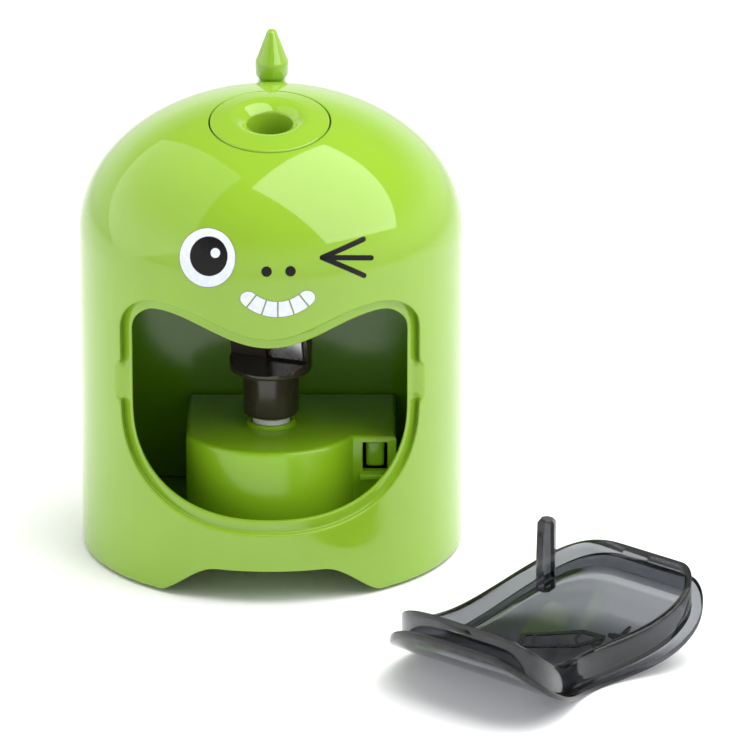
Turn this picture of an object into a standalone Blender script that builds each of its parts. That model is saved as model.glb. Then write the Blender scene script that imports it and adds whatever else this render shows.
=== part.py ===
"""Battery pencil sharpener: a round, domed desk sharpener with its clear shavings cover lying beside it.

Lengths are in millimetres and the mesh helpers turn them into metres. The body's axis is the Z axis of
every piece until the whole is moved, at the end, to stand on the middle of its own footprint. The front
is -Y. The pencil goes in at the top, through pencil_guide, into the cutter under it.
"""

from math import acos, cos, pi, radians, sin, sqrt, tan

import bmesh
import bpy
from mathutils import Matrix, Vector

MM = 0.001
GAP = 0.3                      # between neighbours that touch on the real object
COIL_CLEARANCE = 0.2           # least gap between the turns of a spring

# Body: an upright cylinder under an elliptical dome
BODY_R = 40.0
BODY_WALL = 2.2
RIM_Z = 0.4                    # lower edge of the body; the rubber feet reach the table
SHOULDER_Z = 68.4
DOME_H = 29.2
BODY_STEPS = 60
ARCH_H = 7.2                   # cut-out in the front of the lower rim
ARCH_FLAT = 11.0
ARCH_HALF = 25.5

# Front opening; its outline is on the X-Z plane and is cut straight back
OPEN_HALF = 30.6
OPEN_LOW_Z = 15.2
OPEN_SIDE_Z = 40.0             # where the round lower part ends
OPEN_ROUND = 2.5               # exponent of the lower part's curve
OPEN_HUMP_Z = 63.3
OPEN_HUMP_X = 22.3
OPEN_SAG = 5.9                 # dip of the wavy upper edge at the middle
OPEN_CORNER = 8.0
LEDGE = 2.4                    # width of the ledge that the cover's flange rests on
LEDGE_DEPTH = 1.5
TAB_LOW_Z = 39.4               # finger recess in both sides of the ledge
TAB_HIGH_Z = 47.6
TAB_OUT = 0.9

# Shavings cover
COVER_SKIN = 1.2
COVER_WALL = 1.4
COVER_WALL_H = 6.2
COVER_RIB_R = 0.7
COVER_HEADING = radians(318.4)  # where its upper edge points as it lies on the table
COVER_ROLL = radians(-0.3)
COVER_AT = (54.5, -75.8)       # of its own axis, over the table
COVER_MID_Z = 41.0
POST_ACROSS = 4.1
POST_TIP_ACROSS = 3.5
POST_TIP_CHAMFER = 0.7

# Back opening and battery door
DOOR_HALF = 31.0
DOOR_LOW_Z = 11.5
DOOR_HIGH_Z = 66.5
DOOR_CORNER = 6.0
DOOR_LEDGE = 2.2
DOOR_SKIN = 1.2

# Cutter axis, pencil guide and spike
CUTTER_Y = -10.6
GUIDE_R = 12.3
GUIDE_FLANGE_R = 14.8
GUIDE_THICK = 2.0
GUIDE_TUBE_R = 6.6
GUIDE_TUBE_Z = 64.3
THROAT_R = 4.7                 # passes pencils up to 8 mm across
FUNNEL_R = 8.4
FUNNEL_DEPTH = 2.4
SPIKE_Y = 23.0
SPIKE_W = 7.0
SPIKE_L = 9.0
SPIKE_TIP_Z = SHOULDER_Z + DOME_H + 6.9
SPIKE_TAPER_H = 6.7
SPIKE_TIP_W = 2.4
SPIKE_PEG_R = 2.0

# Base plate, feet and screws
BASE_Z = 8.0
BASE_THICK = 2.0
FOOT_R = 4.6
FOOT_H = 3.0
FOOT_AT = (25.0, 19.5)
LEG_R = 5.0
BOSS_R = 3.2
BOSS_H = 10.0
BOSS_INSET = 2.8               # of a boss's axis from the wall's inner face
BOSS_ANGLE = radians(20.0)     # from the X axis
SCREW_R = 1.0
SCREW_HEAD_R = 2.3
SCREW_HEAD_H = 1.5
SCREW_LENGTH = 9.0

# Motor housing and partition
HOUSING_TOP_Z = 29.2
HOUSING_R = 19.0
HOUSING_LEFT_X = -17.6
HOUSING_RIGHT_X = 26.0
HOUSING_BACK_Y = 7.4
HOUSING_WALL = 1.8
HOUSING_ROOF = 1.3
BAY_FRONT_Y = -19.0
PARTITION_Y = 8.0
PARTITION_THICK = 1.6
PARTITION_TOP_Z = 79.0
PARTITION_GATE_HALF = 12.6

# Interlock in the housing's right-hand bay
BUTTON_X = 21.6
BUTTON_Z = 24.65
BUTTON_W = 3.8
BUTTON_H = 5.8
BUTTON_SET_BACK = 1.8
BUTTON_DEPTH = 5.0
BUTTON_STEM = 2.4
BUTTON_CLEARANCE = 0.35
INTERLOCK_STAND_H = 7.2        # under the interlock switch
LEDGE_OUT = 2.0

# Drive: module 0.7 stub gears
MODULE = 0.7
BACKLASH = 0.26
PINION_TEETH = 10
IDLER_BIG_TEETH = 29
IDLER_SMALL_TEETH = 11
OUTPUT_TEETH = 36
CENTRE_SLACK = 0.05
LEVEL_A_Z = 12.9
LEVEL_A_H = 2.5
LEVEL_B_H = 3.8
PLATE_Z = 20.6                 # gearbox plate
PLATE_THICK = 1.4
POST_R = 1.5
AXLE_R = 1.0
AXLE_BORE_R = 1.3
SHAFT_R = 3.9                  # white output shaft, seen as a collar on the housing
SHAFT_NECK_R = 2.9
SHAFT_BORE_R = 1.9
SHAFT_TOP_Z = 31.0
BUSH_R = 5.2
ROD_R = 1.5

# Motor
MOTOR_W = 20.0
MOTOR_D = 15.0
MOTOR_H = 23.0
MOTOR_CAP_H = 3.0
MOTOR_NOSE_R = 3.0

# Cutter
CARRIER_LOW_R = 5.8
CARRIER_R = 8.6
CARRIER_LOW_Z = 31.4
CARRIER_STEP_Z = 41.0
CARRIER_TOP_Z = 63.0
CARRIER_WELL_R = 4.3
CARRIER_WELL_H = 6.2
CONE_TIP_Z = 42.0
CONE_TIP_R = 0.6
CONE_TOP_R = 4.7
SLIT_DEPTH = 0.35
BLADE_T = 0.6
BLADE_W = 7.6
BLADE_TURN = radians(-20.0)
PRESS_TRAVEL = 1.2

# Cells, cradles and contacts
CELL_R = 7.25
CELL_BODY = 49.2
CELL_NUB_R = 2.75
CELL_NUB_H = 1.3
CELL_AT = ((BODY_R - BODY_WALL - CELL_R - 0.85) * sqrt(0.5),) * 2   # close to the body's inner face
CRADLE_WALL = 1.2
CRADLE_FLOOR = 1.7
CRADLE_H = 55.4
CONTACT_T = 0.4
CONTACT_SPRING_H = 2.4
CONTACT_SPRING_R = 3.6
CONTACT_WIRE_R = 0.3

# Worked out from the above
GUIDE_SEAM = GAP
CUTTER = (0.0, CUTTER_Y)
IDLER = (0.0, CUTTER_Y + MODULE * (OUTPUT_TEETH + IDLER_SMALL_TEETH) / 2 + CENTRE_SLACK)
MOTOR = (0.0, IDLER[1] + MODULE * (IDLER_BIG_TEETH + PINION_TEETH) / 2 + CENTRE_SLACK)
FLOOR_Z = BASE_Z + BASE_THICK
ON_FLOOR_Z = FLOOR_Z + GAP
INNER_R = BODY_R - BODY_WALL
LEVEL_B_Z = LEVEL_A_Z + LEVEL_A_H
INTERLOCK_LOW_Z = ON_FLOOR_Z + INTERLOCK_STAND_H
GATE_TOP_Z = PLATE_Z + PLATE_THICK + 1.0   # of the gearbox's way through housing and partition

root = None
parts = None
cutters = None


# ---------------------------------------------------------------- helpers

def material(name, colour, roughness, metallic=0.0, transmission=0.0):
    mat = bpy.data.materials.new(name)
    mat.use_nodes = True
    shader = mat.node_tree.nodes["Principled BSDF"]
    shader.inputs["Base Color"].default_value = (*colour, 1.0)
    shader.inputs["Roughness"].default_value = roughness
    shader.inputs["Metallic"].default_value = metallic
    shader.inputs["Transmission Weight"].default_value = transmission
    mat.diffuse_color = (*colour, 1.0)
    return mat


def lime_plastic(name):
    return material(name, (0.38, 0.60, 0.06), 0.18)


def smoke_plastic(name):
    return material(name, (0.10, 0.10, 0.10), 0.12, transmission=0.6)


def black_plastic(name):
    return material(name, (0.02, 0.02, 0.02), 0.35)


def white_plastic(name):
    return material(name, (0.80, 0.80, 0.78), 0.35)


def steel(name):
    return material(name, (0.62, 0.62, 0.64), 0.28, metallic=1.0)


def add(name, mesh, mat=None, at=(0.0, 0.0, 0.0), parent=None):
    """Put a mesh at (x, y) or (x, y, z); without a material it is a cutter or a joining shape."""
    obj = bpy.data.objects.new(name, mesh)
    obj.location = Vector((*at, 0.0)[:3]) * MM
    obj.parent = parent or root
    if mat is None:
        cutters.objects.link(obj)
        obj.display_type = 'WIRE'
        obj.hide_render = True
    else:
        parts.objects.link(obj)
        mesh.materials.clear()
        mesh.materials.append(mat)
    return obj


def mesh_from(bm, name):
    bmesh.ops.recalc_face_normals(bm, faces=bm.faces)
    mesh = bpy.data.meshes.new(name)
    bm.to_mesh(mesh)
    bm.free()
    mesh.shade_smooth()
    mesh.set_sharp_from_angle(angle=radians(35))
    return mesh


def box(name, x, y, z, mat=None, parent=None, turn=None, at=(0.0, 0.0, 0.0)):
    """A box from its (low, high) pairs, turned by a matrix if one is given."""
    low = Vector((x[0], y[0], z[0]))
    size = Vector((x[1] - x[0], y[1] - y[0], z[1] - z[0]))
    place = Matrix.Translation((low + size / 2) * MM) @ Matrix.Diagonal((*(size * MM), 1.0))
    bm = bmesh.new()
    bmesh.ops.create_cube(bm, size=1.0, matrix=(turn or Matrix()) @ place)
    return add(name, mesh_from(bm, name), mat, at, parent)


def cylinder(name, radius, z, at=(0.0, 0.0), mat=None, top_radius=None, segments=32,
             turn=None, parent=None):
    """An upright cylinder or cone at (x, y), or along another axis with turn."""
    bm = bmesh.new()
    lift = Matrix.Translation((0, 0, (z[0] + z[1]) / 2 * MM))
    bmesh.ops.create_cone(
        bm, cap_ends=True, segments=segments, depth=(z[1] - z[0]) * MM, radius1=radius * MM,
        radius2=(radius if top_radius is None else top_radius) * MM,
        matrix=(turn or Matrix()) @ lift)
    return add(name, mesh_from(bm, name), mat, at, parent)


def turned(name, profile, at=(0.0, 0.0), mat=None, steps=32, ring=False, parent=None):
    """A turned piece: a profile of (radius, z) down its outer side, closed as a loop for a ring."""
    mesh = bpy.data.meshes.new(name)
    points = [(r * MM, 0.0, z * MM) for r, z in profile]
    edges = [(i, i + 1) for i in range(len(points) - 1)]
    if ring:
        edges.append((len(points) - 1, 0))
    mesh.from_pydata(points, edges, [])
    obj = add(name, mesh, mat, at, parent)
    screw = obj.modifiers.new("turn", 'SCREW')
    screw.axis = 'Z'
    screw.steps = screw.render_steps = steps
    screw.use_merge_vertices = True
    screw.merge_threshold = 0.00001
    screw.use_smooth_shade = True
    return obj


def plate(name, outlines, low, high, mat=None, at=(0.0, 0.0), upright=False, parent=None):
    """A flat outline with thickness: along Z, or along Y when upright, where it is drawn on X-Z."""
    curve = bpy.data.curves.new(name, 'CURVE')
    curve.dimensions = '2D'
    curve.fill_mode = 'BOTH'
    curve.extrude = (high - low) / 2 * MM
    for outline in outlines:
        spline = curve.splines.new('POLY')
        spline.points.add(len(outline) - 1)
        for point, (x, y) in zip(spline.points, outline):
            point.co = (x * MM, y * MM, 0.0, 1.0)
        spline.use_cyclic_u = True
    flat = bpy.data.objects.new(name + "_flat", curve)
    cutters.objects.link(flat)
    bpy.context.view_layer.update()
    mesh = bpy.data.meshes.new_from_object(flat.evaluated_get(bpy.context.evaluated_depsgraph_get()))
    bpy.data.objects.remove(flat)
    bm = bmesh.new()
    bm.from_mesh(mesh)
    bpy.data.meshes.remove(mesh)
    bmesh.ops.remove_doubles(bm, verts=bm.verts, dist=0.000001)
    middle = (low + high) / 2 * MM
    if upright:
        place = Matrix.Translation((0, middle, 0)) @ Matrix.Rotation(pi / 2, 4, 'X')
    else:
        place = Matrix.Translation((0, 0, middle))
    bmesh.ops.transform(bm, matrix=place, verts=bm.verts)
    return add(name, mesh_from(bm, name), mat, at, parent)


def boolean(obj, tool, operation):
    modifier = obj.modifiers.new(f"{operation.lower()}_{tool.name}", 'BOOLEAN')
    modifier.operation = operation
    modifier.object = tool
    modifier.solver = 'EXACT'
    return obj


def cut(obj, *tools):
    for tool in tools:
        boolean(obj, tool, 'DIFFERENCE')
    return obj


def join(obj, *tools):
    for tool in tools:
        boolean(obj, tool, 'UNION')
    return obj


def keep_inside(obj, *tools):
    for tool in tools:
        boolean(obj, tool, 'INTERSECT')
    return obj


def coil(name, at, radius, wire, low, high, turns, mat, along=None):
    """A compression spring between two levels, whose turns never touch."""
    turns = min(turns, (high - low - 2 * wire) / (2 * wire + COIL_CLEARANCE))
    curve = bpy.data.curves.new(name, 'CURVE')
    curve.dimensions = '3D'
    curve.bevel_depth = wire * MM
    curve.bevel_resolution = 2
    curve.use_fill_caps = True
    count = int(turns * 10) + 1
    spline = curve.splines.new('POLY')
    spline.points.add(count - 1)
    for i, point in enumerate(spline.points):
        share = i / (count - 1)
        angle = 2 * pi * turns * share
        rise = low + wire + (high - low - 2 * wire) * share
        point.co = (radius * MM * cos(angle), radius * MM * sin(angle), rise * MM, 1.0)
    wound = bpy.data.objects.new(name + "_curve", curve)
    cutters.objects.link(wound)
    bpy.context.view_layer.update()
    mesh = bpy.data.meshes.new_from_object(wound.evaluated_get(bpy.context.evaluated_depsgraph_get()))
    bpy.data.objects.remove(wound)
    bm = bmesh.new()
    bm.from_mesh(mesh)
    bpy.data.meshes.remove(mesh)
    bmesh.ops.remove_doubles(bm, verts=bm.verts, dist=0.000001)
    if along is not None:
        bmesh.ops.transform(bm, matrix=along, verts=bm.verts)
    return add(name, mesh_from(bm, name), mat, at)


# ---------------------------------------------------------------- outlines and profiles

def mirrored(half):
    """Close a half outline that runs from the top to the bottom of the middle line on +X."""
    return half + [(-x, z) for x, z in reversed(half[1:-1])]


def opening_outline(inset, tabs=False):
    """The front opening: a wavy top, straight sides and a full, round lower edge."""
    side = OPEN_HALF - inset
    top = OPEN_HUMP_Z - inset
    low = OPEN_LOW_Z + inset
    corner = OPEN_CORNER - inset / 2
    wave = [(OPEN_HUMP_X * i / 8, top - OPEN_SAG * (1 + cos(pi * i / 8)) / 2) for i in range(8)]
    turns = [i * pi / 12 for i in range(7)]
    shoulder = [(OPEN_HUMP_X + (side - OPEN_HUMP_X) * sin(a), top - corner + corner * cos(a)) for a in turns]
    recess = []
    if tabs:
        ramp = 0.5
        recess = [(side, TAB_HIGH_Z + ramp), (side + TAB_OUT, TAB_HIGH_Z),
                  (side + TAB_OUT, TAB_LOW_Z + ramp)]
    sweep = [i * pi / 28 for i in range(15)]
    power = 2 / OPEN_ROUND
    base_z = min(OPEN_SIDE_Z, TAB_LOW_Z)
    bowl = [(side * abs(cos(a)) ** power, base_z - (base_z - low) * sin(a) ** power) for a in sweep[:-1]]
    return mirrored(wave + shoulder + recess + bowl + [(0.0, low)])


def rounded_rectangle(half, low, high, corner, inset=0.0):
    """A rectangle with round corners, from low to high and half to each side."""
    radius = corner - inset / 2
    across, up = half - inset - radius, (high - low) / 2 - inset - radius
    middle = (high + low) / 2
    outline = []
    for corner_i, (sx, sz) in enumerate([(1, 1), (-1, 1), (-1, -1), (1, -1)]):
        for i in range(6):
            angle = (corner_i + i / 5) * pi / 2
            outline.append((sx * across + radius * cos(angle), middle + sz * up + radius * sin(angle)))
    return outline


def dome_profile(inset, points=9):
    """The body's outer face moved inwards, from the top of the dome down to the shoulder."""
    radius, height = BODY_R - inset, DOME_H - inset
    turns = [pi / 2 * (1 - i / points) for i in range(points + 1)]
    arc = [(radius * cos(a), SHOULDER_Z + height * sin(a)) for a in turns]
    return [(0.0, arc[0][1])] + arc[1:]


def dome_solid(name, inset, low):
    """A solid bullet under the dome, used to trim pieces to the body's shape."""
    return turned(name, dome_profile(inset) + [(BODY_R - inset, low), (0.0, low)], steps=BODY_STEPS)


def arch_outline():
    turns = [i / 10 for i in range(11)]
    span = ARCH_HALF - ARCH_FLAT
    curve = [(ARCH_FLAT + span * t, ARCH_H * (1 + cos(pi * t)) / 2) for t in turns]
    below = -2.0
    return mirrored([(0.0, ARCH_H)] + curve + [(ARCH_HALF + 0.5, below), (0.0, below)])


def gear_outline(teeth, phase):
    """Stub involute teeth, 20 degree pressure angle, thinned by the backlash."""
    pitch_r = MODULE * teeth / 2
    base_r = pitch_r * cos(radians(20))
    tip_r, root_r = pitch_r + 0.7 * MODULE, pitch_r - 0.95 * MODULE

    def roll(radius):
        pressure = acos(min(1.0, base_r / max(radius, base_r)))
        return tan(pressure) - pressure

    def half_width(radius):
        pitch_half = pi / 2 / teeth - BACKLASH / 2 / pitch_r
        return pitch_half + roll(pitch_r) - roll(radius)

    levels = [root_r, pitch_r, tip_r] if root_r > base_r else [root_r, base_r, pitch_r, tip_r]
    outline = []
    for tooth in range(teeth):
        middle = phase + 2 * pi * tooth / teeth
        flank = [(r, half_width(r)) for r in levels]
        for r, half in flank:
            outline.append((r * cos(middle - half), r * sin(middle - half)))
        for r, half in reversed(flank):
            outline.append((r * cos(middle + half), r * sin(middle + half)))
    return outline


def circle(radius, points=24):
    return [(radius * cos(2 * pi * i / points), radius * sin(2 * pi * i / points)) for i in range(points)]


def housing_outline(inset):
    """Plan of the motor housing: a round front with a square bay on the right."""
    radius = HOUSING_R - inset
    left, right = HOUSING_LEFT_X + inset, HOUSING_RIGHT_X - inset
    back, front = HOUSING_BACK_Y - inset, BAY_FRONT_Y + inset
    start = pi + acos(min(1.0, -left / radius))
    end = 2 * pi - acos(sqrt(radius ** 2 - (front - CUTTER_Y) ** 2) / radius)
    turns = [start + (end - start) * i / 18 for i in range(19)]
    arc = [(radius * cos(a), CUTTER_Y + radius * sin(a)) for a in turns]
    return [(left, back)] + arc + [(right, front), (right, back)]


# ---------------------------------------------------------------- body

def front_cutters():
    """The ledge round the front opening, and the opening itself."""
    reach = BODY_R + 5.0
    high, low = OPEN_HUMP_Z + 8.0, OPEN_LOW_Z - 8.0
    ledge = plate("ledge_cutter", [opening_outline(0.0, tabs=True)], -reach, -10.0, upright=True)
    core_r = BODY_R - LEDGE_DEPTH
    cut(ledge, turned("ledge_core", [(0.0, high), (core_r, high), (core_r, low), (0.0, low)], steps=BODY_STEPS))
    hole = plate("opening_cutter", [opening_outline(LEDGE)], -reach, -5.0, upright=True)
    return ledge, hole


def back_cutters():
    """The battery door's ledge, and the opening behind the door."""
    reach = BODY_R + 5.0
    high, low = DOOR_HIGH_Z + 8.0, DOOR_LOW_Z - 8.0
    outline = rounded_rectangle(DOOR_HALF, DOOR_LOW_Z, DOOR_HIGH_Z, DOOR_CORNER)
    ledge = plate("door_ledge_cutter", [outline], 10.0, reach, upright=True)
    core_r = BODY_R - DOOR_SKIN - GAP
    cut(ledge, turned("door_ledge_core", [(0.0, high), (core_r, high), (core_r, low), (0.0, low)],
                      steps=BODY_STEPS))
    inner = rounded_rectangle(DOOR_HALF, DOOR_LOW_Z, DOOR_HIGH_Z, DOOR_CORNER, inset=DOOR_LEDGE)
    return ledge, plate("door_opening_cutter", [inner], 10.0, reach, upright=True)


def boss_places():
    radius = INNER_R - BOSS_INSET
    for i, (sx, sy) in enumerate([(1, -1), (-1, -1), (1, 1), (-1, 1)], 1):
        yield i, (sx * radius * cos(BOSS_ANGLE), sy * radius * sin(BOSS_ANGLE))


def build_body():
    lime = lime_plastic("body_lime")
    edge = 0.8
    outer = dome_profile(0.0) + [(BODY_R, RIM_Z + edge), (BODY_R - edge, RIM_Z)]
    inner = [(INNER_R, RIM_Z)] + list(reversed(dome_profile(BODY_WALL)))
    body = turned("body_shell", outer + inner, mat=lime, steps=BODY_STEPS)
    cut(body, plate("arch_cutter", [arch_outline()], -BODY_R - 5.0, 0.0, upright=True))
    for i, place in boss_places():
        boss = cylinder(f"boss_{i}", BOSS_R, (ON_FLOOR_Z, ON_FLOOR_Z + BOSS_H), place)
        join(body, keep_inside(boss, dome_solid(f"boss_trim_{i}", BODY_WALL / 2, 1.0)))
        cut(body, cylinder(f"pilot_{i}", SCREW_R + GAP, (FLOOR_Z - 1.0, ON_FLOOR_Z + BOSS_H - 1.5),
                           place, segments=16))
    guide_hole = cylinder("guide_hole", GUIDE_R + GUIDE_SEAM, (SHOULDER_Z + 10.0, SPIKE_TIP_Z), CUTTER, segments=40)
    peg_hole = cylinder("peg_hole", SPIKE_PEG_R + GAP, (SHOULDER_Z + 16.0, SPIKE_TIP_Z), (0.0, SPIKE_Y), segments=16)
    cut(body, *front_cutters(), *back_cutters(), guide_hole, peg_hole)


def build_guide():
    """The disc round the pencil hole, with the funnel and the tube that leads the pencil down."""
    lime = lime_plastic("guide_lime")
    top = SHOULDER_Z + DOME_H + 5.0
    guide = cylinder("pencil_guide", GUIDE_R, (SHOULDER_Z + 15.0, top), CUTTER, mat=lime, segments=40)
    keep_inside(guide, dome_solid("guide_dome", 0.0, 40.0))
    flange = cylinder("guide_flange", GUIDE_FLANGE_R, (SHOULDER_Z + 10.0, top), CUTTER, segments=40)
    keep_inside(flange, dome_solid("flange_dome", BODY_WALL + GAP, 40.0))
    tube = cylinder("guide_tube", GUIDE_TUBE_R, (GUIDE_TUBE_Z, SHOULDER_Z + 25.0), CUTTER, segments=24)
    under = dome_solid("guide_underside", BODY_WALL + GAP + GUIDE_THICK, 40.0)
    join(guide, flange)
    cut(guide, under)
    join(guide, tube)
    mouth_z = SHOULDER_Z + DOME_H * sqrt(1 - (CUTTER_Y / BODY_R) ** 2)
    throat_z = mouth_z - FUNNEL_DEPTH
    lead_in = 1.5
    dish = [(THROAT_R + (FUNNEL_R - THROAT_R) * t, throat_z + FUNNEL_DEPTH * sin(pi / 2 * t))
            for t in [1 - i / 5 for i in range(6)]]
    funnel = turned("funnel", [(0.0, top), (FUNNEL_R + 0.8, top), (FUNNEL_R + 0.8, mouth_z + 1.2)] + dish
                    + [(THROAT_R, GUIDE_TUBE_Z + lead_in), (THROAT_R + 0.6, GUIDE_TUBE_Z - 1.0),
                       (0.0, GUIDE_TUBE_Z - 1.0)], at=CUTTER, steps=32)
    cut(guide, funnel)


def build_spike():
    """The little horn behind the crown, with a peg through the dome."""
    lime = lime_plastic("spike_lime")
    foot_z = SHOULDER_Z + DOME_H * 0.6
    taper_z = SPIKE_TIP_Z - SPIKE_TAPER_H
    half, tip = SPIKE_W / 2, SPIKE_TIP_W / 2
    profile = [(0.0, SPIKE_TIP_Z), (tip * 0.6, SPIKE_TIP_Z - 0.25), (tip, SPIKE_TIP_Z - 0.9),
               (half * 0.97, taper_z + 0.4), (half, taper_z - 0.6), (half, foot_z), (0.0, foot_z)]
    spike = turned("head_spike", profile, at=(0.0, SPIKE_Y), mat=lime, steps=24)
    spike.scale = (1.0, SPIKE_L / SPIKE_W, 1.0)
    cut(spike, dome_solid("spike_seat", -GAP, 40.0))
    peg_z = SHOULDER_Z + DOME_H * sqrt(1 - (SPIKE_Y / BODY_R) ** 2)
    join(spike, cylinder("spike_peg", SPIKE_PEG_R, (peg_z - 5.0, peg_z + 3.0), (0.0, SPIKE_Y), segments=16))


# ---------------------------------------------------------------- cover

def cover_place():
    """The empty that carries the cover from its seat in the body to where it lies on the table."""
    towards = Vector((cos(COVER_HEADING), sin(COVER_HEADING), 0.0))
    aside = Vector((-sin(COVER_HEADING), cos(COVER_HEADING), 0.0))
    up = Vector((0.0, 0.0, 1.0))
    across = aside * cos(COVER_ROLL) + up * sin(COVER_ROLL)
    inwards = up * cos(COVER_ROLL) - aside * sin(COVER_ROLL)
    turn = Matrix((across, inwards, towards)).transposed()
    axis_point = Vector((*COVER_AT, BODY_R + 0.02))
    place = Matrix.Translation((axis_point - turn @ Vector((0.0, 0.0, COVER_MID_Z))) * MM)
    empty = bpy.data.objects.new("cover_lies_here", None)
    cutters.objects.link(empty)
    empty.parent = root
    empty.matrix_local = place @ turn.to_4x4()
    return empty


def build_cover():
    """A smoke-clear curved panel, a rim wall that enters the opening, snap ribs and a post."""
    smoke = smoke_plastic("cover_smoke")
    place = cover_place()
    reach = BODY_R + 5.0
    skin_r = BODY_R - COVER_SKIN
    cover = turned("shavings_cover", [(BODY_R, 70.0), (BODY_R, 8.0), (skin_r, 8.0), (skin_r, 70.0)],
                   mat=smoke, steps=BODY_STEPS, ring=True, parent=place)
    keep_inside(cover, plate("cover_outline", [opening_outline(GAP)], -reach, -10.0,
                             upright=True, parent=place))
    outer = opening_outline(LEDGE + GAP)
    inner = opening_outline(LEDGE + GAP + COVER_WALL)
    wall = plate("cover_wall", [outer, inner], -reach, -6.0, upright=True, parent=place)
    keep_inside(wall, cylinder("wall_front", BODY_R - COVER_SKIN / 2, (5.0, 75.0), segments=BODY_STEPS,
                               parent=place))
    cut(wall, cylinder("wall_back", skin_r, (OPEN_LOW_Z - 8.0, OPEN_HUMP_Z + 8.0), (0.0, COVER_WALL_H), segments=BODY_STEPS,
                       parent=place))
    join(cover, wall)
    wall_x = OPEN_HALF - LEDGE - GAP
    rib_y = COVER_WALL_H - sqrt(skin_r ** 2 - wall_x ** 2) - 1.9
    for side, sign in (("left", -1), ("right", 1)):
        join(cover, cylinder(f"rib_{side}", COVER_RIB_R, (TAB_LOW_Z + 0.6, TAB_HIGH_Z - 0.6),
                             (sign * (wall_x - 0.25), rib_y), segments=12, parent=place))
    join(cover, build_post(place))


def post_tip_y():
    return BAY_FRONT_Y + BUTTON_SET_BACK - BUTTON_CLEARANCE


def build_post(place):
    """The hexagonal post that pushes the interlock button when the cover is on."""
    tip = post_tip_y()
    along_y = Matrix.Translation((0, 0, BUTTON_Z * MM)) @ Matrix.Rotation(-pi / 2, 4, 'X')
    hexagon = 2 / sqrt(3) / 2
    foot = -sqrt((BODY_R - COVER_SKIN / 2) ** 2 - BUTTON_X ** 2)
    end = tip - POST_TIP_CHAMFER
    post = cylinder("post", POST_ACROSS * hexagon, (foot - 0.2, end), (BUTTON_X, 0.0),
                    top_radius=POST_TIP_ACROSS * hexagon, segments=6, turn=along_y, parent=place)
    chamfer = cylinder("post_chamfer", POST_TIP_ACROSS * hexagon, (end - 0.01, tip), (BUTTON_X, 0.0),
                       top_radius=POST_TIP_ACROSS * hexagon - POST_TIP_CHAMFER, segments=6,
                       turn=along_y, parent=place)
    return join(post, chamfer)


# ---------------------------------------------------------------- base and frame

def gearbox_posts():
    """Places of the six posts under the gearbox plate; the last four take its screws."""
    output_clear = MODULE * (OUTPUT_TEETH / 2 + 0.7) + POST_R + GAP
    lean = radians(48)
    front = (output_clear * cos(lean), CUTTER_Y - output_clear * sin(lean))
    middle = (-HOUSING_LEFT_X - HOUSING_WALL - POST_R - 0.7, 3.0)
    rear = (9.5, MOTOR[1] + MOTOR_D / 2 + 2.6)
    return [(sign * x, y) for x, y in (front, middle, rear) for sign in (-1, 1)]


def build_base():
    grey = material("base_green", (0.12, 0.20, 0.03), 0.45)
    base = cylinder("base_plate", INNER_R - GAP - 0.1, (BASE_Z, FLOOR_Z), mat=grey, segments=BODY_STEPS)
    foot_places = [(sx * FOOT_AT[0], sy * FOOT_AT[1]) for sx in (-1, 1) for sy in (-1, 1)]
    rubber = material("foot_rubber", (0.03, 0.03, 0.03), 0.8)
    for i, place in enumerate(foot_places, 1):
        join(base, cylinder(f"leg_{i}", LEG_R, (FOOT_H + GAP, BASE_Z + 0.5), place, segments=20))
        cylinder(f"rubber_foot_{i}", FOOT_R, (0.0, FOOT_H), place, mat=rubber, segments=20)
    for i, place in enumerate(gearbox_posts(), 1):
        join(base, cylinder(f"gearbox_post_{i}", POST_R, (FLOOR_Z - 0.5, PLATE_Z - GAP), place, segments=12))
        if i > 2:
            cut(base, cylinder(f"post_pilot_{i}", 0.9, (FLOOR_Z + 2.0, PLATE_Z), place, segments=8))
    join(base, box("interlock_stand", (BUTTON_X - 2.2, BUTTON_X + 2.2), (-8.0, -1.0),
                   (FLOOR_Z - 0.5, INTERLOCK_LOW_Z)))
    for i, place in boss_places():
        cut(base, cylinder(f"base_hole_{i}", SCREW_R + GAP + 0.3, (BASE_Z - 1.0, FLOOR_Z + 1.0), place,
                           segments=16))


def screw(name, place, head_low, length, mat, head_up=False, radius=SCREW_R, head_r=SCREW_HEAD_R):
    """A pan-head screw, its head below its shank unless head_up."""
    sign = -1 if head_up else 1
    base = head_low + (SCREW_HEAD_H if head_up else 0.0)
    levels = [(head_r * 0.75, 0.0), (head_r, 0.45), (head_r, SCREW_HEAD_H), (radius, SCREW_HEAD_H),
              (radius, SCREW_HEAD_H + length - 0.6), (radius * 0.5, SCREW_HEAD_H + length)]
    points = [(0.0, base)] + [(r, base + sign * z) for r, z in levels]
    points.append((0.0, points[-1][1]))
    if sign > 0:
        points.reverse()
    return turned(name, points, at=place, mat=mat, steps=16)


def build_screws():
    metal = steel("screw_steel")
    for i, place in boss_places():
        screw(f"base_screw_{i}", place, BASE_Z - GAP - SCREW_HEAD_H, SCREW_LENGTH, metal)
    top = PLATE_Z + PLATE_THICK + GAP
    for i, place in enumerate(gearbox_posts()[2:], 1):
        screw(f"gearbox_screw_{i}", place, top, 6.0, metal, head_up=True, radius=0.6, head_r=1.5)


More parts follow.
